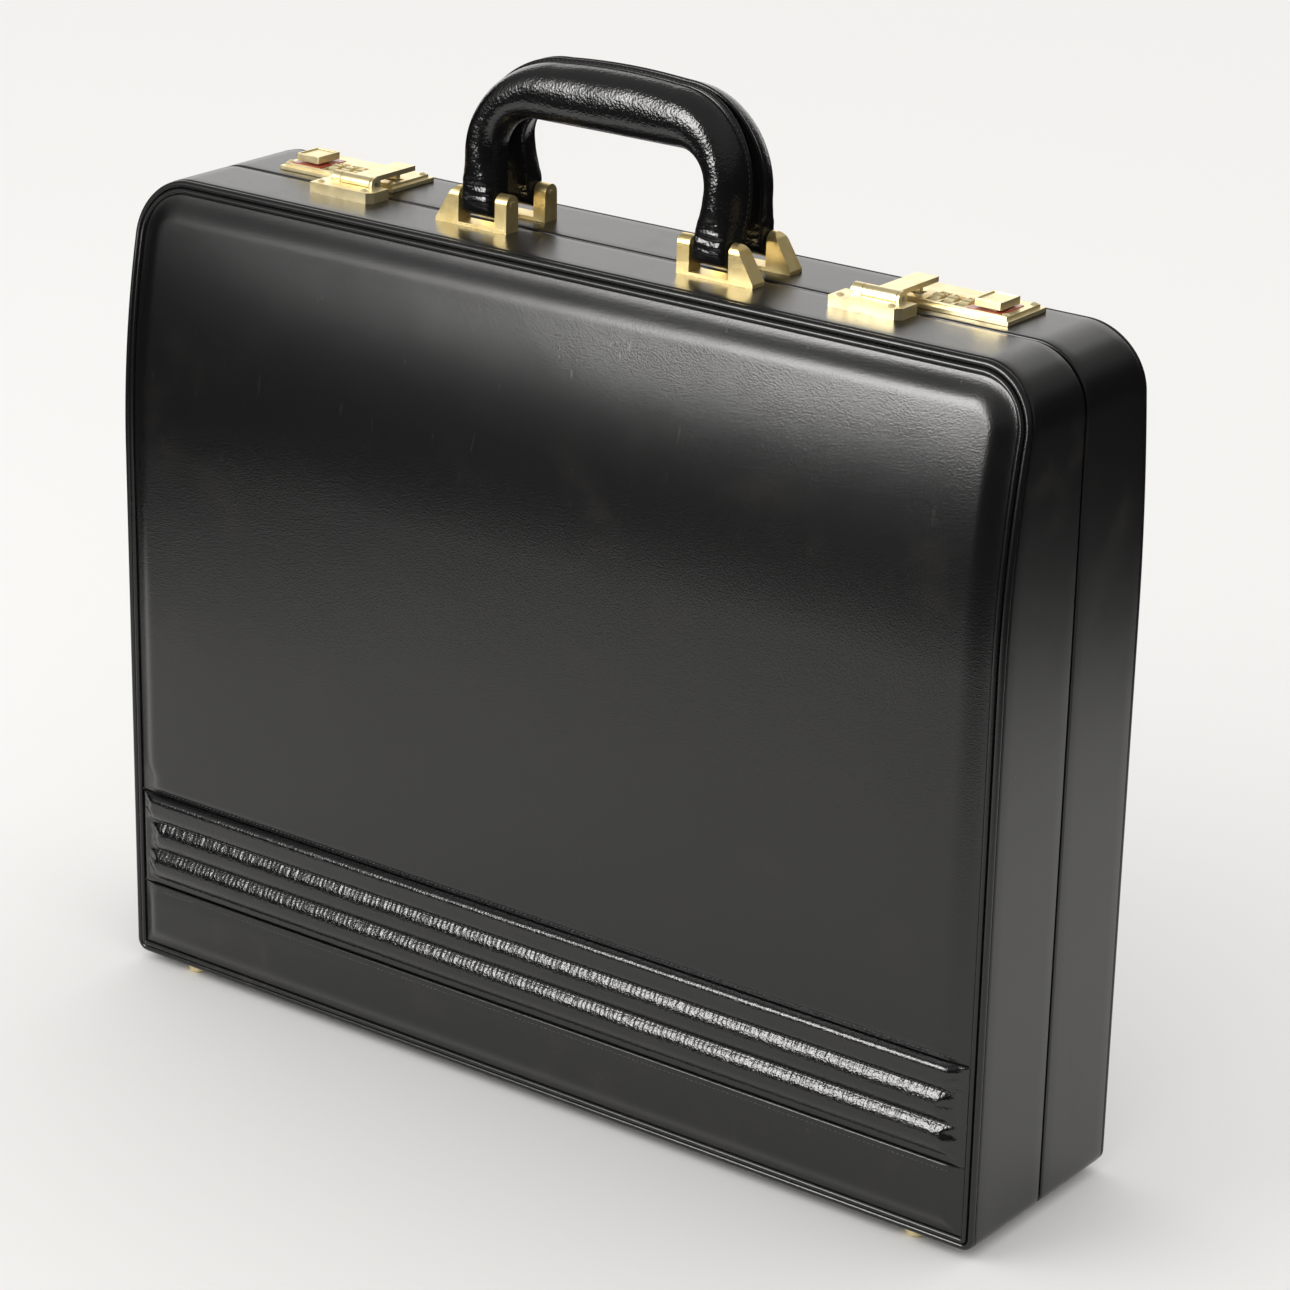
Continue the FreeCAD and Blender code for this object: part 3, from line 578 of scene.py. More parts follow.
def flat_sheet(name, xs, vs, swell, corner=0.0):
    """An open sheet over xs and vs; swell(x, v) gives its height. The top corners may be round."""
    x, v = np.meshgrid(xs, vs)
    if corner:
        a = np.clip((np.abs(x) - (xs[-1] - corner)) / corner, 0, 1)
        b = np.clip((v - (vs[-1] - corner)) / corner, 0, 1)
        both = (a > 0) & (b > 0)
        x = np.where(both, np.sign(x) * (xs[-1] - corner + corner * a * np.sqrt(1 - b * b / 2)), x)
        v = np.where(both, vs[-1] - corner + corner * b * np.sqrt(1 - a * a / 2), v)
    points = np.column_stack([x.ravel(), swell(x, v).ravel(), v.ravel()])
    data = mesh_data(name, points, [f[::-1] for f in quads(len(vs), len(xs))])
    if sum(p.normal.y for p in data.polygons) < 0:
        data.flip_normals()
    return added(name, data)


SIM_FRAMES = 20
EASING = 90
SLACK = 0.004
PRESSURE = 4.0


def blown(sheet, edge, cap):
    """Blows up a pinned sheet with Blender's cloth, caps how far each point moved, and eases that."""
    pins = sheet.vertex_groups.new(name="pinned")
    pins.add([v.index for v in sheet.data.vertices if edge(v.co)], 1.0, "REPLACE")
    cloth = sheet.modifiers.new("Cloth", "CLOTH")
    cloth.settings.vertex_group_mass = "pinned"
    cloth.settings.use_pressure = True
    cloth.settings.uniform_pressure_force = PRESSURE
    cloth.settings.shrink_min = -SLACK
    cloth.settings.effector_weights.gravity = 0
    cloth.point_cache.frame_end = SIM_FRAMES
    before = np.array([v.co for v in sheet.data.vertices])
    for number in range(1, SIM_FRAMES + 1):
        bpy.context.scene.frame_set(number)
    shown = sheet.evaluated_get(bpy.context.evaluated_depsgraph_get())
    move = np.array([v.co for v in shown.data.vertices]) - before
    length = np.linalg.norm(move, axis=1)
    move *= (cap * np.tanh(length / cap) / np.maximum(length, 1e-9))[:, None]
    sheet.modifiers.remove(cloth)
    ends = np.array([e.vertices for e in sheet.data.edges])
    free = np.array([not v.groups for v in sheet.data.vertices])[:, None]
    neighbours = np.bincount(ends.ravel(), minlength=len(move))[:, None]
    for _ in range(EASING):
        total = np.zeros_like(move)
        np.add.at(total, ends[:, 0], move[ends[:, 1]])
        np.add.at(total, ends[:, 1], move[ends[:, 0]])
        move = np.where(free, total / neighbours, move)
    sheet.data.vertices.foreach_set("co", (before + move).ravel())
    bpy.context.scene.frame_set(1)
    print(f"{sheet.name}: moved up to {np.linalg.norm(move, axis=1).max() / MM:.2f} mm")
    return sheet


def backed(sheet, level):
    """Closes an open flat sheet with a skirt down to a level and a back that can bend."""
    work = bmesh.new()
    work.from_mesh(sheet.data)
    border = [e for e in work.edges if e.is_boundary]
    skirt = bmesh.ops.extrude_edge_only(work, edges=border)["geom"]
    for v in skirt:
        if isinstance(v, bmesh.types.BMVert):
            v.co.y = level
    rim = [e for e in skirt if isinstance(e, bmesh.types.BMEdge) and e.is_boundary]
    back = bmesh.ops.contextual_create(work, geom=rim)["faces"]
    heights = [v.co.z for v in work.verts]
    sliced(work, back, np.arange(max(min(heights), BEND_Z - UNDER_Z), max(heights), STRIP)[1:])
    work.to_mesh(sheet.data)
    work.free()


def bent(sheet, name, side):
    """A copy of a flat piece, bent to one face of the case and turned outwards."""
    data = sheet.data.copy()
    co = np.array([v.co for v in data.vertices])
    z = UNDER_Z + co[:, 2]
    placed_co = np.column_stack([-side * co[:, 0], side * (rim_depth(side, z) + co[:, 1]), z])
    data.vertices.foreach_set("co", placed_co.ravel())
    return turned_out(added(name, data))


def on_both_faces(sheet, part, material, stands_for):
    """Gives a flat sheet its back, bends it to each face of the case and removes the flat one."""
    backed(sheet, BACK)
    for side_name, side in SIDES.items():
        pad = bent(sheet, f"{side_name}_{part}", side)
        placed(pad, f"{side_name}_half", material, [f"{side_name}_{stands_for}"])
    bpy.data.objects.remove(sheet)


# %% The face pads
PAD_X = HALF_W - WELT_END * MM
BAND = (36 * MM, 80 * MM)
PAD_TOP = TOP_Z - UNDER_Z - WELT_END * MM
PAD_CORNER = TOP_CORNER - WELT_END * MM
VALLEY = -0.38 * MM
BACK = -0.49 * MM
PAD_SWELL = 3.2 * MM
STRIP = 8 * MM


def from_rim(x, v):
    """Distance from the pad's side and top edges, round its top corners."""
    a = np.abs(x) - (PAD_X - PAD_CORNER)
    b = v - (PAD_TOP - PAD_CORNER)
    return PAD_CORNER - np.where((a > 0) & (b > 0), np.hypot(a, b), np.maximum(a, b))


def face_swell(x, v):
    """Height of the face pad: a valley along the welt, a shorter dip at the seam, a soft waver."""
    roll = smooth(from_rim(x, v) / (11 * MM))
    dip = 1 - 0.72 * (1 - smooth((v - BAND[1]) / (5 * MM)))
    pinch = 1 - 0.55 * np.exp(-(np.hypot(np.abs(x) - PAD_X + 6 * MM, v - BAND[1] - 7 * MM) / (5 * MM)) ** 2)
    waver = 0.16 * MM * wander(x, v, 60 * MM, 3.7) * roll
    return VALLEY + (PAD_SWELL - VALLEY) * roll * dip * pinch + waver


face = flat_sheet("face", swept_places(-PAD_X, PAD_X, 151), swept_places(BAND[1], PAD_TOP, 101),
                  face_swell, PAD_CORNER)
blown(face, lambda co: from_rim(co.x, co.z) < 1.2 * MM or co.z < BAND[1] + 0.5 * MM, 0.9 * MM)
add_modifier(face, "SUBSURF", levels=1, render_levels=1)
on_both_faces(settled(face), "face_pad", FACE_LEATHER, "face_panel")

# %% [markdown]
# ## The ribbed band
#
# Below the face pad three padded ribs run across the case, with a row of stitches in each valley
# between them that pleats and crinkles the slopes. Each rib dies away a little before the welt.
# A height rule says all of that, and a fine grid carries it.

# %% The ribbed bands
VALLEYS = (53.15 * MM, 67.45 * MM)
RIBS = [(39.4 * MM, VALLEYS[0]), (VALLEYS[0], VALLEYS[1]), (VALLEYS[1], 79.5 * MM)]
RIB_RISE = 3.3 * MM
BAND_BASE = 0.75 * MM
RIB_ENDS = (216.5 * MM, 214.5 * MM, 218.0 * MM)
STITCH_PITCH = 2.3 * MM


def band_swell(x, v):
    """Height of the band: three ribs over a flat base, gathered at the stitched valleys."""
    height = np.full(np.shape(x), BAND_BASE)
    for i, (low, high) in enumerate(RIBS):
        t = (2 * v - low - high) / (high - low)
        sharp = np.where(t > 0, 4.5, 2.4) if i == 2 else 2.0
        bulge = np.clip(1 - np.abs(t) ** sharp, 0, 1) ** (0.6 if i == 2 else 0.9)
        ends = smooth((RIB_ENDS[i] + 1.5 * MM * wander(x * 0, v, 3 * MM, i) - np.abs(x)) / (8 * MM))
        height = height + RIB_RISE * bulge * ends * (1 + 0.05 * wander(x, v, 22 * MM, i + 5.0))
    for valley in VALLEYS:
        near = np.abs(v - valley)
        below = np.where(v < valley, 1.0, 0.45)
        fade = smooth((RIB_ENDS[0] - np.abs(x)) / (10 * MM)) * below
        gather = 0.34 * MM * wander(x, v, (1.25 * MM, 5 * MM), valley * 900) * np.exp(-near / (3.4 * MM))
        pleat = 0.22 * MM * np.cos(2 * math.pi * x / STITCH_PITCH) * np.exp(-near / (1.9 * MM))
        height = height + (gather + pleat) * fade * smooth(near / (0.7 * MM))
    side = smooth((PAD_X - np.abs(x)) / (2.5 * MM))
    seams = 0.45 + 0.55 * smooth((v - BAND[0]) / (0.9 * MM)) * smooth((BAND[1] - v) / (0.7 * MM))
    return VALLEY + (height - VALLEY) * side * seams


band = flat_sheet("band", np.linspace(-PAD_X, PAD_X, 641), np.linspace(*BAND, 65), band_swell)
on_both_faces(band, "ribbed_band", RIB_LEATHER, "rib_band")

# %% The lower pads
LOWER_SWELL = 2.7 * MM


def lower_swell(x, v):
    """Height of the lower pad: soft edges along the welt and a tighter one at the seam."""
    rim = np.minimum(PAD_X - np.abs(x), v - WELT_END * MM)
    roll = smooth(rim / (9 * MM)) * (1 - 0.32 * (1 - smooth((BAND[0] - v) / (9 * MM))))
    return VALLEY + (LOWER_SWELL - VALLEY) * roll + 0.12 * MM * wander(x, v, 45 * MM, 8.1) * roll


lower = flat_sheet("lower", swept_places(-PAD_X, PAD_X, 151), swept_places(WELT_END * MM, BAND[0], 17),
                   lower_swell)
blown(lower, lambda co: lower_swell(co.x, co.z) < 0.1 * MM or co.z > BAND[0] - 0.4 * MM, 0.7 * MM)
add_modifier(lower, "SUBSURF", levels=1, render_levels=1)
on_both_faces(settled(lower), "lower_pad", FACE_LEATHER, "lower_panel")

# %% [markdown]
# ## The handles
#
# Each half has its own handle, and closed they are carried as one. A grip is leather over foam
# and a steel core: flat towards its twin, domed outwards, with a thin sewn flange along the outer
# edge. It is lofted through sections that run from the inner line of an arch to its outer line,
# and it wrinkles round the pins. OUTER and INNER say, for each
# line, half its width at the pins and above the legs, and the radius of its turns, in mm.

# %% The arch
PINS = {side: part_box(f"{name}_handle_pins") for name, side in SIDES.items()}
GRIP_TOP = 72.2
GRIP_UNDER = 47.8
OUTER = (67.2, 68.5, 40.0)
INNER = (49.4, 51.5, 14.0)
PIVOT = 11.8
GRIP_DEPTH = 14.0
GRIP_LEAN = math.radians(4.9)
GRIP_SKEW = 4.0
GRIP_CROWN = 1.3
FLAT_ROUND = 2.4
ARCH_STEPS = 30


def arch_lines():
    """Pairs of points (inner, outer), in millimetres over the top of the case, and the pin's reach."""
    stations = []
    shoulder_out, shoulder_in = GRIP_TOP - OUTER[2], GRIP_UNDER - INNER[2]
    for b in np.radians(np.linspace(78, 6, 9)):
        drop = -math.sin(b) * GRIP_DEPTH / 2
        stations.append(((INNER[0], PIVOT + drop), (OUTER[0], PIVOT + drop), math.cos(b)))
    for t in np.linspace(0, 1, ARCH_STEPS):
        s = smooth(t) * 0.4 + t * 0.6
        inner = (INNER[0] + (INNER[1] - INNER[0]) * s, PIVOT + (shoulder_in - PIVOT) * t)
        outer = (OUTER[0] + (OUTER[1] - OUTER[0]) * s, PIVOT + (shoulder_out - PIVOT) * t)
        stations.append((inner, outer, 1.0))
    for a in np.radians(np.linspace(0, 90, ARCH_STEPS + 1)[1:]):
        inner = (INNER[1] - INNER[2] * (1 - math.cos(a)), shoulder_in + INNER[2] * math.sin(a))
        outer = (OUTER[1] - OUTER[2] * (1 - math.cos(a)), shoulder_out + OUTER[2] * math.sin(a))
        stations.append((inner, outer, 1.0))
    last_in, last_out = stations[-1][0][0], stations[-1][1][0]
    for t in np.linspace(0, 1, ARCH_STEPS // 2 + 1)[1:]:
        crown = GRIP_CROWN * (1 - (1 - t) ** 2)
        stations.append(((last_in * (1 - t), GRIP_UNDER), (last_out * (1 - t), GRIP_TOP + crown), 1.0))
    return stations + [((-i[0], i[1]), (-o[0], o[1]), k) for i, o, k in reversed(stations[:-1])]


ARCH = arch_lines()


def in_case(side, across, depth, height):
    """A handle's point from mm across the case, out from its flat side and over the top. From its
    pins up it leans towards its twin and has gone a little askew with use."""
    middle = (PINS[side][0] + PINS[side][1]) / 2
    out, up = depth - GRIP_DEPTH / 2, height - PIVOT
    across += GRIP_SKEW * (max(up, 0) / (GRIP_TOP - PIVOT)) ** 3
    leant_out = out * math.cos(GRIP_LEAN) - up * math.sin(GRIP_LEAN)
    leant_up = up * math.cos(GRIP_LEAN) + out * math.sin(GRIP_LEAN)
    return (across * MM, middle.y + side * leant_out * MM, middle.z + leant_up * MM)


# %% The leather grips
SECTION_STEPS = 44


def grip_section(inner, outer, narrow, ends):
    """One closed section of the grip, boxier and shallower at the leg ends."""
    points = []
    for a in np.linspace(0, 2 * math.pi, SECTION_STEPS, endpoint=False):
        c, s = math.cos(a), math.sin(a)
        share = 0.5 + 0.5 * math.copysign(abs(c) ** (0.86 - 0.42 * ends), c)
        domed = FLAT_ROUND + (GRIP_DEPTH - FLAT_ROUND - 1.2 * ends) * abs(s) ** (0.92 - 0.4 * ends)
        depth = domed if s >= 0 else FLAT_ROUND * (1 - abs(s) ** 0.45)
        depth = GRIP_DEPTH / 2 + (depth - GRIP_DEPTH / 2) * narrow
        x = inner[0] + (outer[0] - inner[0]) * share
        z = inner[1] + (outer[1] - inner[1]) * share
        points.append((x, depth, z, max(s, 0.0)))
    return points


def grip_points(side):
    """All the grip's points, wrinkled at the leg ends and faintly creased elsewhere."""
    points = []
    for i, (inner, outer, narrow) in enumerate(ARCH):
        low = (inner[1] + outer[1]) / 2
        ends = float(1 - smooth((low - PIVOT - 3) / 14))
        belly = 1 - ends
        for x, depth, z, dome in grip_section(inner, outer, narrow, ends):
            fold = noise.noise((x / 8, depth / 7, z / 2.4 + side * 7)) * 0.85 * ends * narrow
            dent = noise.noise((x / 16, depth / 9, z / 16 + side)) * 0.40 * belly
            crease = noise.noise((x / 2.6, depth / 5, z / 2.6 - side)) * 0.16 * dome
            depth += (fold + dent + crease) * (0.35 + 0.65 * dome)
            points.append(in_case(side, x, depth, z))
    return points


def grip(name, side):
    """A closed leather grip with rounded leg ends."""
    piece = ended_tube(f"{name}_grip_leather", grip_points(side), SECTION_STEPS)
    add_modifier(piece, "SUBSURF", levels=1, render_levels=1)
    return settled(piece)


# %% The sewn flange along the outer edge
FLANGE_OUT = 1.5
FLANGE = [(-2.2, 0.35), (0.6, 0.25), (FLANGE_OUT, 0.6), (FLANGE_OUT + 0.15, 1.05), (FLANGE_OUT, 1.5),
          (0.8, 1.75), (0.35, 2.1), (-2.2, 2.9)]
FLANGE_STATIONS = [s for s in ARCH if s[1][1] > PIVOT + 9]


def flange_line(out, depth):
    """The line at that distance outside the arch's outer line, and that depth, in mm."""
    points = []
    last = len(FLANGE_STATIONS) - 1
    for i, (_, outer, _) in enumerate(FLANGE_STATIONS):
        before, after = FLANGE_STATIONS[max(i - 1, 0)][1], FLANGE_STATIONS[min(i + 1, last)][1]
        run = Vector((after[0] - before[0], after[1] - before[1])).normalized()
        taper = float(smooth(min(i, last - i) / 5))
        reach = out * taper if out > 0 else out
        points.append((outer[0] + run.y * reach, depth, outer[1] - run.x * reach))
    return points


def flange(name, side):
    """The doubled leather edge that holds the grip's seam."""
    rows = [[in_case(side, *p) for p in flange_line(out, depth)] for out, depth in FLANGE]
    count = len(FLANGE_STATIONS)
    faces = quads(len(rows), count, close_rows=True)
    faces += [tuple(r * count + end for r in range(len(rows))) for end in (0, count - 1)]
    return mesh_piece(f"{name}_grip_flange", [p for row in rows for p in row], faces)


for side_name, side in SIDES.items():
    body = f"{side_name}_handle"
    leather_grip = grip(side_name, side)
    placed(leather_grip, body, GRIP_LEATHER, [f"{side_name}_handle_grip"])
    placed(flange(side_name, side), body, WELT_LEATHER)

# %% [markdown]
# ## The brass
#
# The CAD gives the hardware its exact shape with sharp edges. Real ones are rounded and catch the
# light, so each part is copied, its triangles are joined into clean flat faces, and every sharp
# edge is bevelled. Castings get wider rounds than stampings.


# %% Bevelled copies of the hardware
def crisp(node, width, segments, material, slot):
    """A merged copy of a CAD node with rounded edges, which stands for the node."""
    piece = added(f"{node}_rounded", nodes[node].data.copy())
    if piece.data.has_custom_normals:
        piece.data.attributes.remove(piece.data.attributes["custom_normal"])
    work = bmesh.new()
    work.from_mesh(piece.data)
    bmesh.ops.remove_doubles(work, verts=work.verts, dist=0.003 * MM)
    bmesh.ops.dissolve_limit(work, angle_limit=math.radians(2), verts=work.verts, edges=work.edges)
    work.to_mesh(piece.data)
    work.free()
    add_modifier(piece, "BEVEL", width=width, segments=segments, limit_method="ANGLE",
                 angle_limit=math.radians(28), use_clamp_overlap=True)
    add_modifier(piece, "TRIANGULATE")
    add_modifier(piece, "WEIGHTED_NORMAL", keep_sharp=True)
    for face in piece.data.polygons:
        face.use_smooth = True
    settled(piece)
    return placed(piece, nodes[node]["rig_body"], material, [node])


CAST = (CAST_BRASS, "gold_brass")
STAMPED = (LATCH_BRASS, "gold_brass")
STAY = (STEEL, "steel")
BEVELS = [
    (["catch_plate", "lock_plate"], 0.30 * MM, 3, *STAMPED),
    (["hasp", "button"], 0.38 * MM, 3, *STAMPED),
    (["dial_1", "dial_2", "dial_3"], 0.10 * MM, 2, *STAMPED),
    (["stay_link_front", "stay_link_rear"], 0.20 * MM, 2, *STAY),
]
for parts, *rounding in BEVELS:
    for part in parts:
        for hand_name in HANDS:
            crisp(f"{hand_name}_{part}", *rounding)
for side_name in SIDES:
    for hand_name in HANDS:
        crisp(f"{side_name}_handle_bracket_{hand_name}", 0.75 * MM, 4, *CAST)
    crisp(f"{side_name}_feet", 0.25 * MM, 3, *STAMPED)
    crisp(f"hinge_leaf_{side_name}", 0.15 * MM, 2, *STAMPED)
    crisp(f"stay_mounts_{side_name}", 0.20 * MM, 2, *STAY)
    crisp(f"{side_name}_handle_pins", 0.30 * MM, 3, *CAST)

# %% [markdown]
# ## Parts that are right as they are
#
# The remaining parts stay as the CAD made them and only get their finish.

# %% Finishes of the carried-over parts
KEPT = {
    PLYWOOD: ["front_frame", "rear_frame", "front_board", "rear_board"],
    EDGE_METAL: ["front_rim", "rear_rim"],
    STEEL: ["front_handle_core", "rear_handle_core", "hinge_pin", "hasp_pins", "dial_spindles",
            "lock_cases"],
    RIVET_BRASS: ["front_rivets", "rear_rivets"],
    RED_ENAMEL: ["lock_indicators"],
}
for material, names in KEPT.items():
    for name in names:
        nodes[name].data.materials.clear()
        nodes[name].data.materials.append(material)
print("kept as they are:", sum(len(names) for names in KEPT.values()), "parts")

# %% [markdown]
# ## The lining and the document pocket
#
# Inside, a thin cloth tray covers the wood: walls swept like the side leather, and a back that
# follows the leaning board. In the front half a pocket for papers bellies a little at its open
# top edge, which has a rolled hem.

# %% The lining trays
WALL_IN = 5.25
CLOTH_T = 0.8
TRAY_START = 2.1
TRAY_BACK = -3.1


def tray(name, side):
    """A closed cloth shell: wall outside, back outside, back inside, wall inside."""
    wall, floor = WALL_IN + CLOTH_T, TRAY_BACK - CLOTH_T
    loops = [(WALL_IN, TRAY_START, 0), (WALL_IN, TRAY_BACK, 1), (wall + 1.5, floor, 1),
             (wall + 0.4, floor - 0.5, 1), (wall, floor - 1.8, 1), (wall, TRAY_START, 0)]
    rings = swept_rings(side, loops)
    count = len(rings[0])
    work = bmesh.new()
    verts = [[work.verts.new(p) for p in ring] for ring in rings]
    for a, b in ((0, 1), (2, 3), (3, 4), (4, 5), (5, 0)):
        for c in range(count):
            d = (c + 1) % count
            work.faces.new((verts[a][c], verts[a][d], verts[b][d], verts[b][c]))
    for back in [[work.faces.new(verts[1])], [work.faces.new(verts[2])]]:
        sliced(work, back, np.arange(BEND_Z, TOP_Z - STRIP, STRIP))
    data = bpy.data.meshes.new(name)
    work.to_mesh(data)
    work.free()
    return turned_out(added(name, data))


for side_name, side in SIDES.items():
    lining = tray(f"{side_name}_lining_tray", side)
    placed(lining, f"{side_name}_half", LINING, [f"{side_name}_lining"])

# %% The document pocket
pocket_low, pocket_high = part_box("document_pocket")
POCKET_BELLY = 2.2 * MM
HEM_R = 1.3 * MM


def pocket():
    """A cloth panel with a gentle belly towards its open top edge."""
    xs = np.linspace(pocket_low.x, pocket_high.x, 61)
    zs = np.linspace(pocket_low.z, pocket_high.z, 31)
    x, z = np.meshgrid(xs, zs)
    across = np.clip(1 - (x / pocket_high.x) ** 2, 0, 1)
    up = (z - pocket_low.z) / (pocket_high.z - pocket_low.z)
    outer = -rim_depth(-1, z) + 4.1 * MM
    belly = (0.8 * MM + POCKET_BELLY * across ** 0.7 * up) * smooth(across * 6 + 0.1)
    belly = belly + 0.15 * MM * wander(x, z, 30 * MM, 2.0) * across
    front = np.column_stack([x.ravel(), (outer + belly).ravel(), z.ravel()])
    back = np.column_stack([x.ravel(), outer.ravel(), z.ravel()])
    count = len(xs) * len(zs)
    faces = quads(len(zs), len(xs))
    faces += [tuple(i + count for i in f) for f in faces]
    rim = [i for i in range(len(xs))] + [r * len(xs) + len(xs) - 1 for r in range(1, len(zs))]
    rim += [count - 2 - i for i in range(len(xs) - 1)] + [r * len(xs) for r in range(len(zs) - 2, 0, -1)]
    faces += [(a, b, b + count, a + count) for a, b in zip(rim, rim[1:] + rim[:1])]
    piece = mesh_piece("document_pocket_cloth", np.concatenate([front, back]), faces)
    return piece, front.reshape(len(zs), -1, 3)


pocket_piece, pocket_face = pocket()
placed(pocket_piece, "front_half", LINING, ["document_pocket"])


def tube(name, path, radius, steps=10):
    """A closed round cord along a path of points."""
    points = []
    path = [Vector(p) for p in path]
    for i, p in enumerate(path):
        run = (path[min(i + 1, len(path) - 1)] - path[max(i - 1, 0)]).normalized()
        first = run.cross(Vector((0, 0, 1))).normalized()
        second = run.cross(first)
        for a in np.linspace(0, 2 * math.pi, steps, endpoint=False):
            points.append(p + radius * (first * math.cos(a) + second * math.sin(a)))
    return ended_tube(name, points, steps)


hem = tube("document_pocket_hem", pocket_face[-1], HEM_R)
placed(hem, "front_half", WELT_LEATHER)

# %% [markdown]
# ## The stitches
#
# Geometry Nodes sample a line at the stitch pitch, place a small ball of thread at every sample,
# stretch it along the line and give it a slight turn of its own from a fixed seed. All the lines
# of one body are one object.

# %% The stitch tree
STITCH_LENGTH = 1.75 * MM
THREAD_WIDTH = 0.5 * MM
WOBBLE = (0.12, 0.12, 0.12)
SEED = 5


def stitch_tree():
    """Geometry nodes that lay stitches along the edges of a mesh."""
    tree = bpy.data.node_groups.new("stitches along lines", "GeometryNodeTree")
    face = tree.interface
    face.new_socket("Lines", in_out="INPUT", socket_type="NodeSocketGeometry")
    sizes = {"Pitch": STITCH_PITCH, "Length": STITCH_LENGTH, "Thread": THREAD_WIDTH}
    for label, value in sizes.items():
        face.new_socket(label, in_out="INPUT", socket_type="NodeSocketFloat").default_value = value
    face.new_socket("Seed", in_out="INPUT", socket_type="NodeSocketInt").default_value = SEED
    face.new_socket("Finish", in_out="INPUT", socket_type="NodeSocketMaterial")
    face.new_socket("Stitches", in_out="OUTPUT", socket_type="NodeSocketGeometry")

    def node(kind, settings=None, **links):
        made = tree.nodes.new(kind)
        for key, value in (settings or {}).items():
            setattr(made, key, value)
        for key, value in links.items():
            socket = made.inputs[key.replace("_", " ")]
            if isinstance(value, bpy.types.NodeSocket):
                tree.links.new(value, socket)
            else:
                socket.default_value = value
        return made

    given = node("NodeGroupInput").outputs
    curve = node("GeometryNodeMeshToCurve", Mesh=given["Lines"])
    points = node("GeometryNodeResampleCurve", {"mode": "LENGTH"}, Curve=curve.outputs[0],
                  Length=given["Pitch"])
    ball = node("GeometryNodeMeshUVSphere", Segments=7, Rings=5, Radius=0.5)
    round_ball = node("GeometryNodeSetShadeSmooth", Geometry=ball.outputs["Mesh"])
    size = node("ShaderNodeCombineXYZ", X=given["Length"], Y=given["Thread"], Z=given["Thread"])
    tangent = node("GeometryNodeInputTangent")
    along = node("FunctionNodeAlignRotationToVector", {"axis": "X"}, Vector=tangent.outputs[0])
    wobble = node("FunctionNodeRandomValue", {"data_type": "FLOAT_VECTOR"}, Seed=given["Seed"])
    wobble.inputs[0].default_value = tuple(-w for w in WOBBLE)
    wobble.inputs[1].default_value = WOBBLE
    turned = node("FunctionNodeRotateRotation", Rotation=along.outputs[0], Rotate_By=wobble.outputs[0])
    laid = node("GeometryNodeInstanceOnPoints", Points=points.outputs[0], Scale=size.outputs[0],
                Instance=round_ball.outputs[0], Rotation=turned.outputs[0])
    real = node("GeometryNodeRealizeInstances", Geometry=laid.outputs[0])
    finished = node("GeometryNodeSetMaterial", Geometry=real.outputs[0], Material=given["Finish"])
    node("NodeGroupOutput", Stitches=finished.outputs[0])
    return tree


STITCH_TREE = stitch_tree()


def stitched(name, lines, body, length=STITCH_LENGTH, thread_width=THREAD_WIDTH):
    """One mesh of stitches along lines of points."""
    points, edges = [], []
    for line in lines:
        edges += [(len(points) + i, len(points) + i + 1) for i in range(len(line) - 1)]
        points += line
    piece = added(name, mesh_data(name, points, [], edges))
    modifier = add_modifier(piece, "NODES", node_group=STITCH_TREE)
    sockets = {item.name: item.identifier for item in STITCH_TREE.interface.items_tree}
    for label, value in (("Length", length), ("Thread", thread_width), ("Finish", THREAD)):
        modifier[sockets[label]] = value
    placed(settled(piece), body, THREAD)


# %% Stitch lines on the two halves and the handles
LINE_STEP = 1.2 * MM


def along(side, v, half_length, pieces, sink):
    """A line of points across the case at height v, laid on what is there and sunk a little."""
    trees = [BVHTree.FromObject(p, bpy.context.evaluated_depsgraph_get()) for p in pieces]
    line = []
    for x in np.arange(-half_length, half_length, LINE_STEP):
        start = Vector((x, side * 2 * RIM, UNDER_Z + v))
        hits = [t.ray_cast(start, Vector((0, -side, 0)))[0] for t in trees]
        depth = max(abs(h.y) for h in hits if h)
        line.append((x, side * (depth - sink), UNDER_Z + v))
    return line


def round_welt(side, inset, height):
    """A line right round the case in the groove of the welt."""
    ring = list(swept_rings(side, [(inset, height, 1)])[0])
    return ring + ring[:1]


for side_name, side in SIDES.items():
    soft = [bpy.data.objects[f"{side_name}_{part}"] for part in ("face_pad", "ribbed_band", "lower_pad")]
    lines = [along(side, v, RIB_ENDS[0] - 3 * MM, soft, 0.02 * MM) for v in VALLEYS]
    lines.append(along(side, BAND[1] + 2.6 * MM, PAD_X - 6 * MM, soft, 0.06 * MM))
    lines.append(along(side, BAND[0] - 2.4 * MM, PAD_X - 6 * MM, soft, 0.06 * MM))
    lines.append(round_welt(side, *GROOVE))
    if side_name == "front":
        lines.append(list(pocket_face[-2]))
    stitched(f"{side_name}_stitches", lines, f"{side_name}_half")
    seam = [in_case(side, *p) for p in flange_line(0.75, 1.78)]
    stitched(f"{side_name}_grip_stitches", [seam], f"{side_name}_handle", 1.5 * MM, 0.3 * MM)

# %% [markdown]
# ## The floor, the light and the camera
#
# A glossy black thing is drawn by what it reflects. A pale floor near the case fills the lower
# half of its face with grey, and a dark studio beyond makes the upper half nearly black: cards
# that only reflections can see, for a black floor, a wall that turns from black to dim, and a dim
# ceiling. A bright card in front, fading to the left, draws the bands on the face, the ribs and
# the handles, and one behind turns the top leather grey. The world lights everything evenly, and
# a weak lamp gives a soft direction.

# %% Floor and cards
GLOW = (1, 0.99, 0.97, 1)
FLOOR_GREY = (0.86, 0.855, 0.845, 1)
NO_COLOUR = (0, 0, 0, 1)


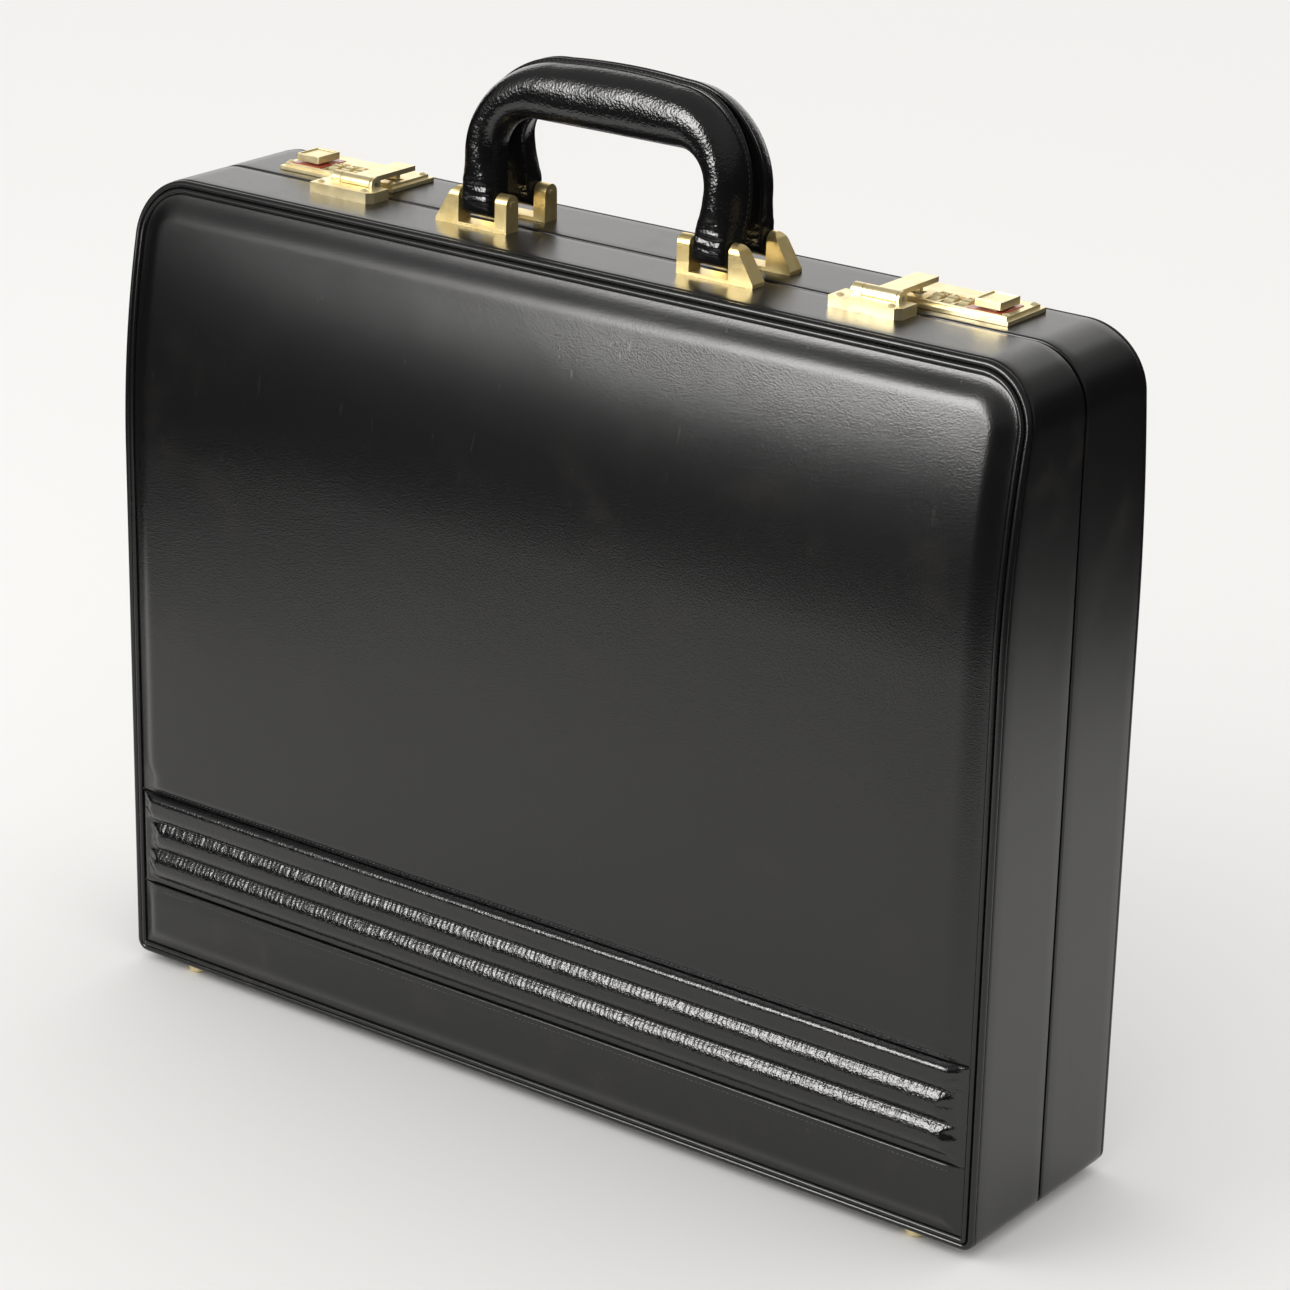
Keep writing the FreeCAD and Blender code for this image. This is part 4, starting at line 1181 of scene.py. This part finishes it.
def stage_card(name, points, faces, strength, tint, reflections_only=True):
    """A floor or card of plain colour, or a glowing one."""
    card = mesh_piece(name, points, faces)
    f = Finish(name)
    card.data.materials.append(f.done(Base_Color=tint, Roughness=0.9, Specular_IOR_Level=0.0,
                                      Emission_Color=GLOW, Emission_Strength=strength))
    if reflections_only:
        card.visible_camera = card.visible_diffuse = card.visible_shadow = card.visible_transmission = False


def ring_card(name, inner, outer, low, high, strength=0.0, sweep=(0, 360)):
    """A ring round the case, flat or upright, from one radius and height to another."""
    angles = np.radians(np.linspace(*sweep, 49))
    ends = ((inner, low), (outer, high))
    points = [(r * math.cos(a), r * math.sin(a), z) for r, z in ends for a in angles]
    stage_card(name, points, quads(2, len(angles)), strength, NO_COLOUR)


FLOOR = 12.0
STUDIO = 3.0
WALL_TURNS, CEILING = 1.3, 2.6
BOX = 1.5
BOX_TOP = 1.42
stage_card("pale_floor", [(-FLOOR, -FLOOR, 0), (FLOOR, -FLOOR, 0), (FLOOR, FLOOR, 0), (-FLOOR, FLOOR, 0)],
           [(0, 1, 2, 3)], 0.0, FLOOR_GREY, reflections_only=False)
ring_card("dark_studio_floor", 0.76, STUDIO, 1.5 * MM, 1.5 * MM)
ring_card("dark_studio_wall", STUDIO, STUDIO, 0.0, WALL_TURNS)
ring_card("dim_studio_wall", STUDIO, STUDIO, WALL_TURNS, CEILING, 0.20)
ring_card("dim_studio_ceiling", STUDIO, 0.0, CEILING, CEILING, 0.32)
ring_card("bright_backdrop", 2.2, 2.2, 0.25, 1.9, 1.5, sweep=(80, 155))
ring_card("front_softbox", BOX, BOX, 0.50, BOX_TOP, 17.0, sweep=(236, 258))
ring_card("front_softbox_edge", BOX, BOX, 0.52, BOX_TOP, 1.8, sweep=(224, 236))
ring_card("front_softbox_fade", BOX, BOX, 0.52, BOX_TOP, 0.5, sweep=(204, 224))

# %% World and lamp
WORLD_GREY, WORLD_STRENGTH = (1.0, 0.992, 0.98, 1), 1.02
LAMP_AT, LAMP_AIM = Vector((-0.95, -1.30, 1.22)), Vector((0, 0, 0.25))
LAMP_SIZE, LAMP_POWER, LAMP_TINT = (1.4, 1.1), 9, (1.0, 0.985, 0.96)
world = bpy.data.worlds.new("pale studio")
bpy.context.scene.world = world
world.use_nodes = True
background = world.node_tree.nodes["Background"].inputs
background["Color"].default_value = WORLD_GREY
background["Strength"].default_value = WORLD_STRENGTH
light = bpy.data.lights.new("key_softbox", "AREA")
light.shape, light.size, light.size_y = "RECTANGLE", *LAMP_SIZE
light.energy, light.color = LAMP_POWER, LAMP_TINT
lamp = added("key_softbox", light)
lamp.location = LAMP_AT
lamp.visible_glossy = False
lamp.rotation_euler = (LAMP_AIM - LAMP_AT).to_track_quat("-Z", "Y").to_euler()

# %% Camera
YAW = math.radians(36.52)
PITCH = math.radians(20.71)
ROLL = math.radians(1.22)
CAMERA_AT = Vector((0.96434, -1.27356, 0.79585))
LENS = 114.19
SENSOR = 36.0
camera = added("camera", bpy.data.cameras.new("camera"))
camera.data.lens, camera.data.sensor_width = LENS, SENSOR
turns = [Matrix.Rotation(a, 4, axis) for a, axis in ((YAW, "Z"), (math.pi / 2 - PITCH, "X"), (ROLL, "Z"))]
camera.matrix_world = Matrix.Translation(CAMERA_AT) @ turns[0] @ turns[1] @ turns[2]
bpy.context.scene.camera = camera
bpy.context.scene.view_settings.view_transform = "Standard"
print("camera", round(CAMERA_AT.length, 2), "m away")
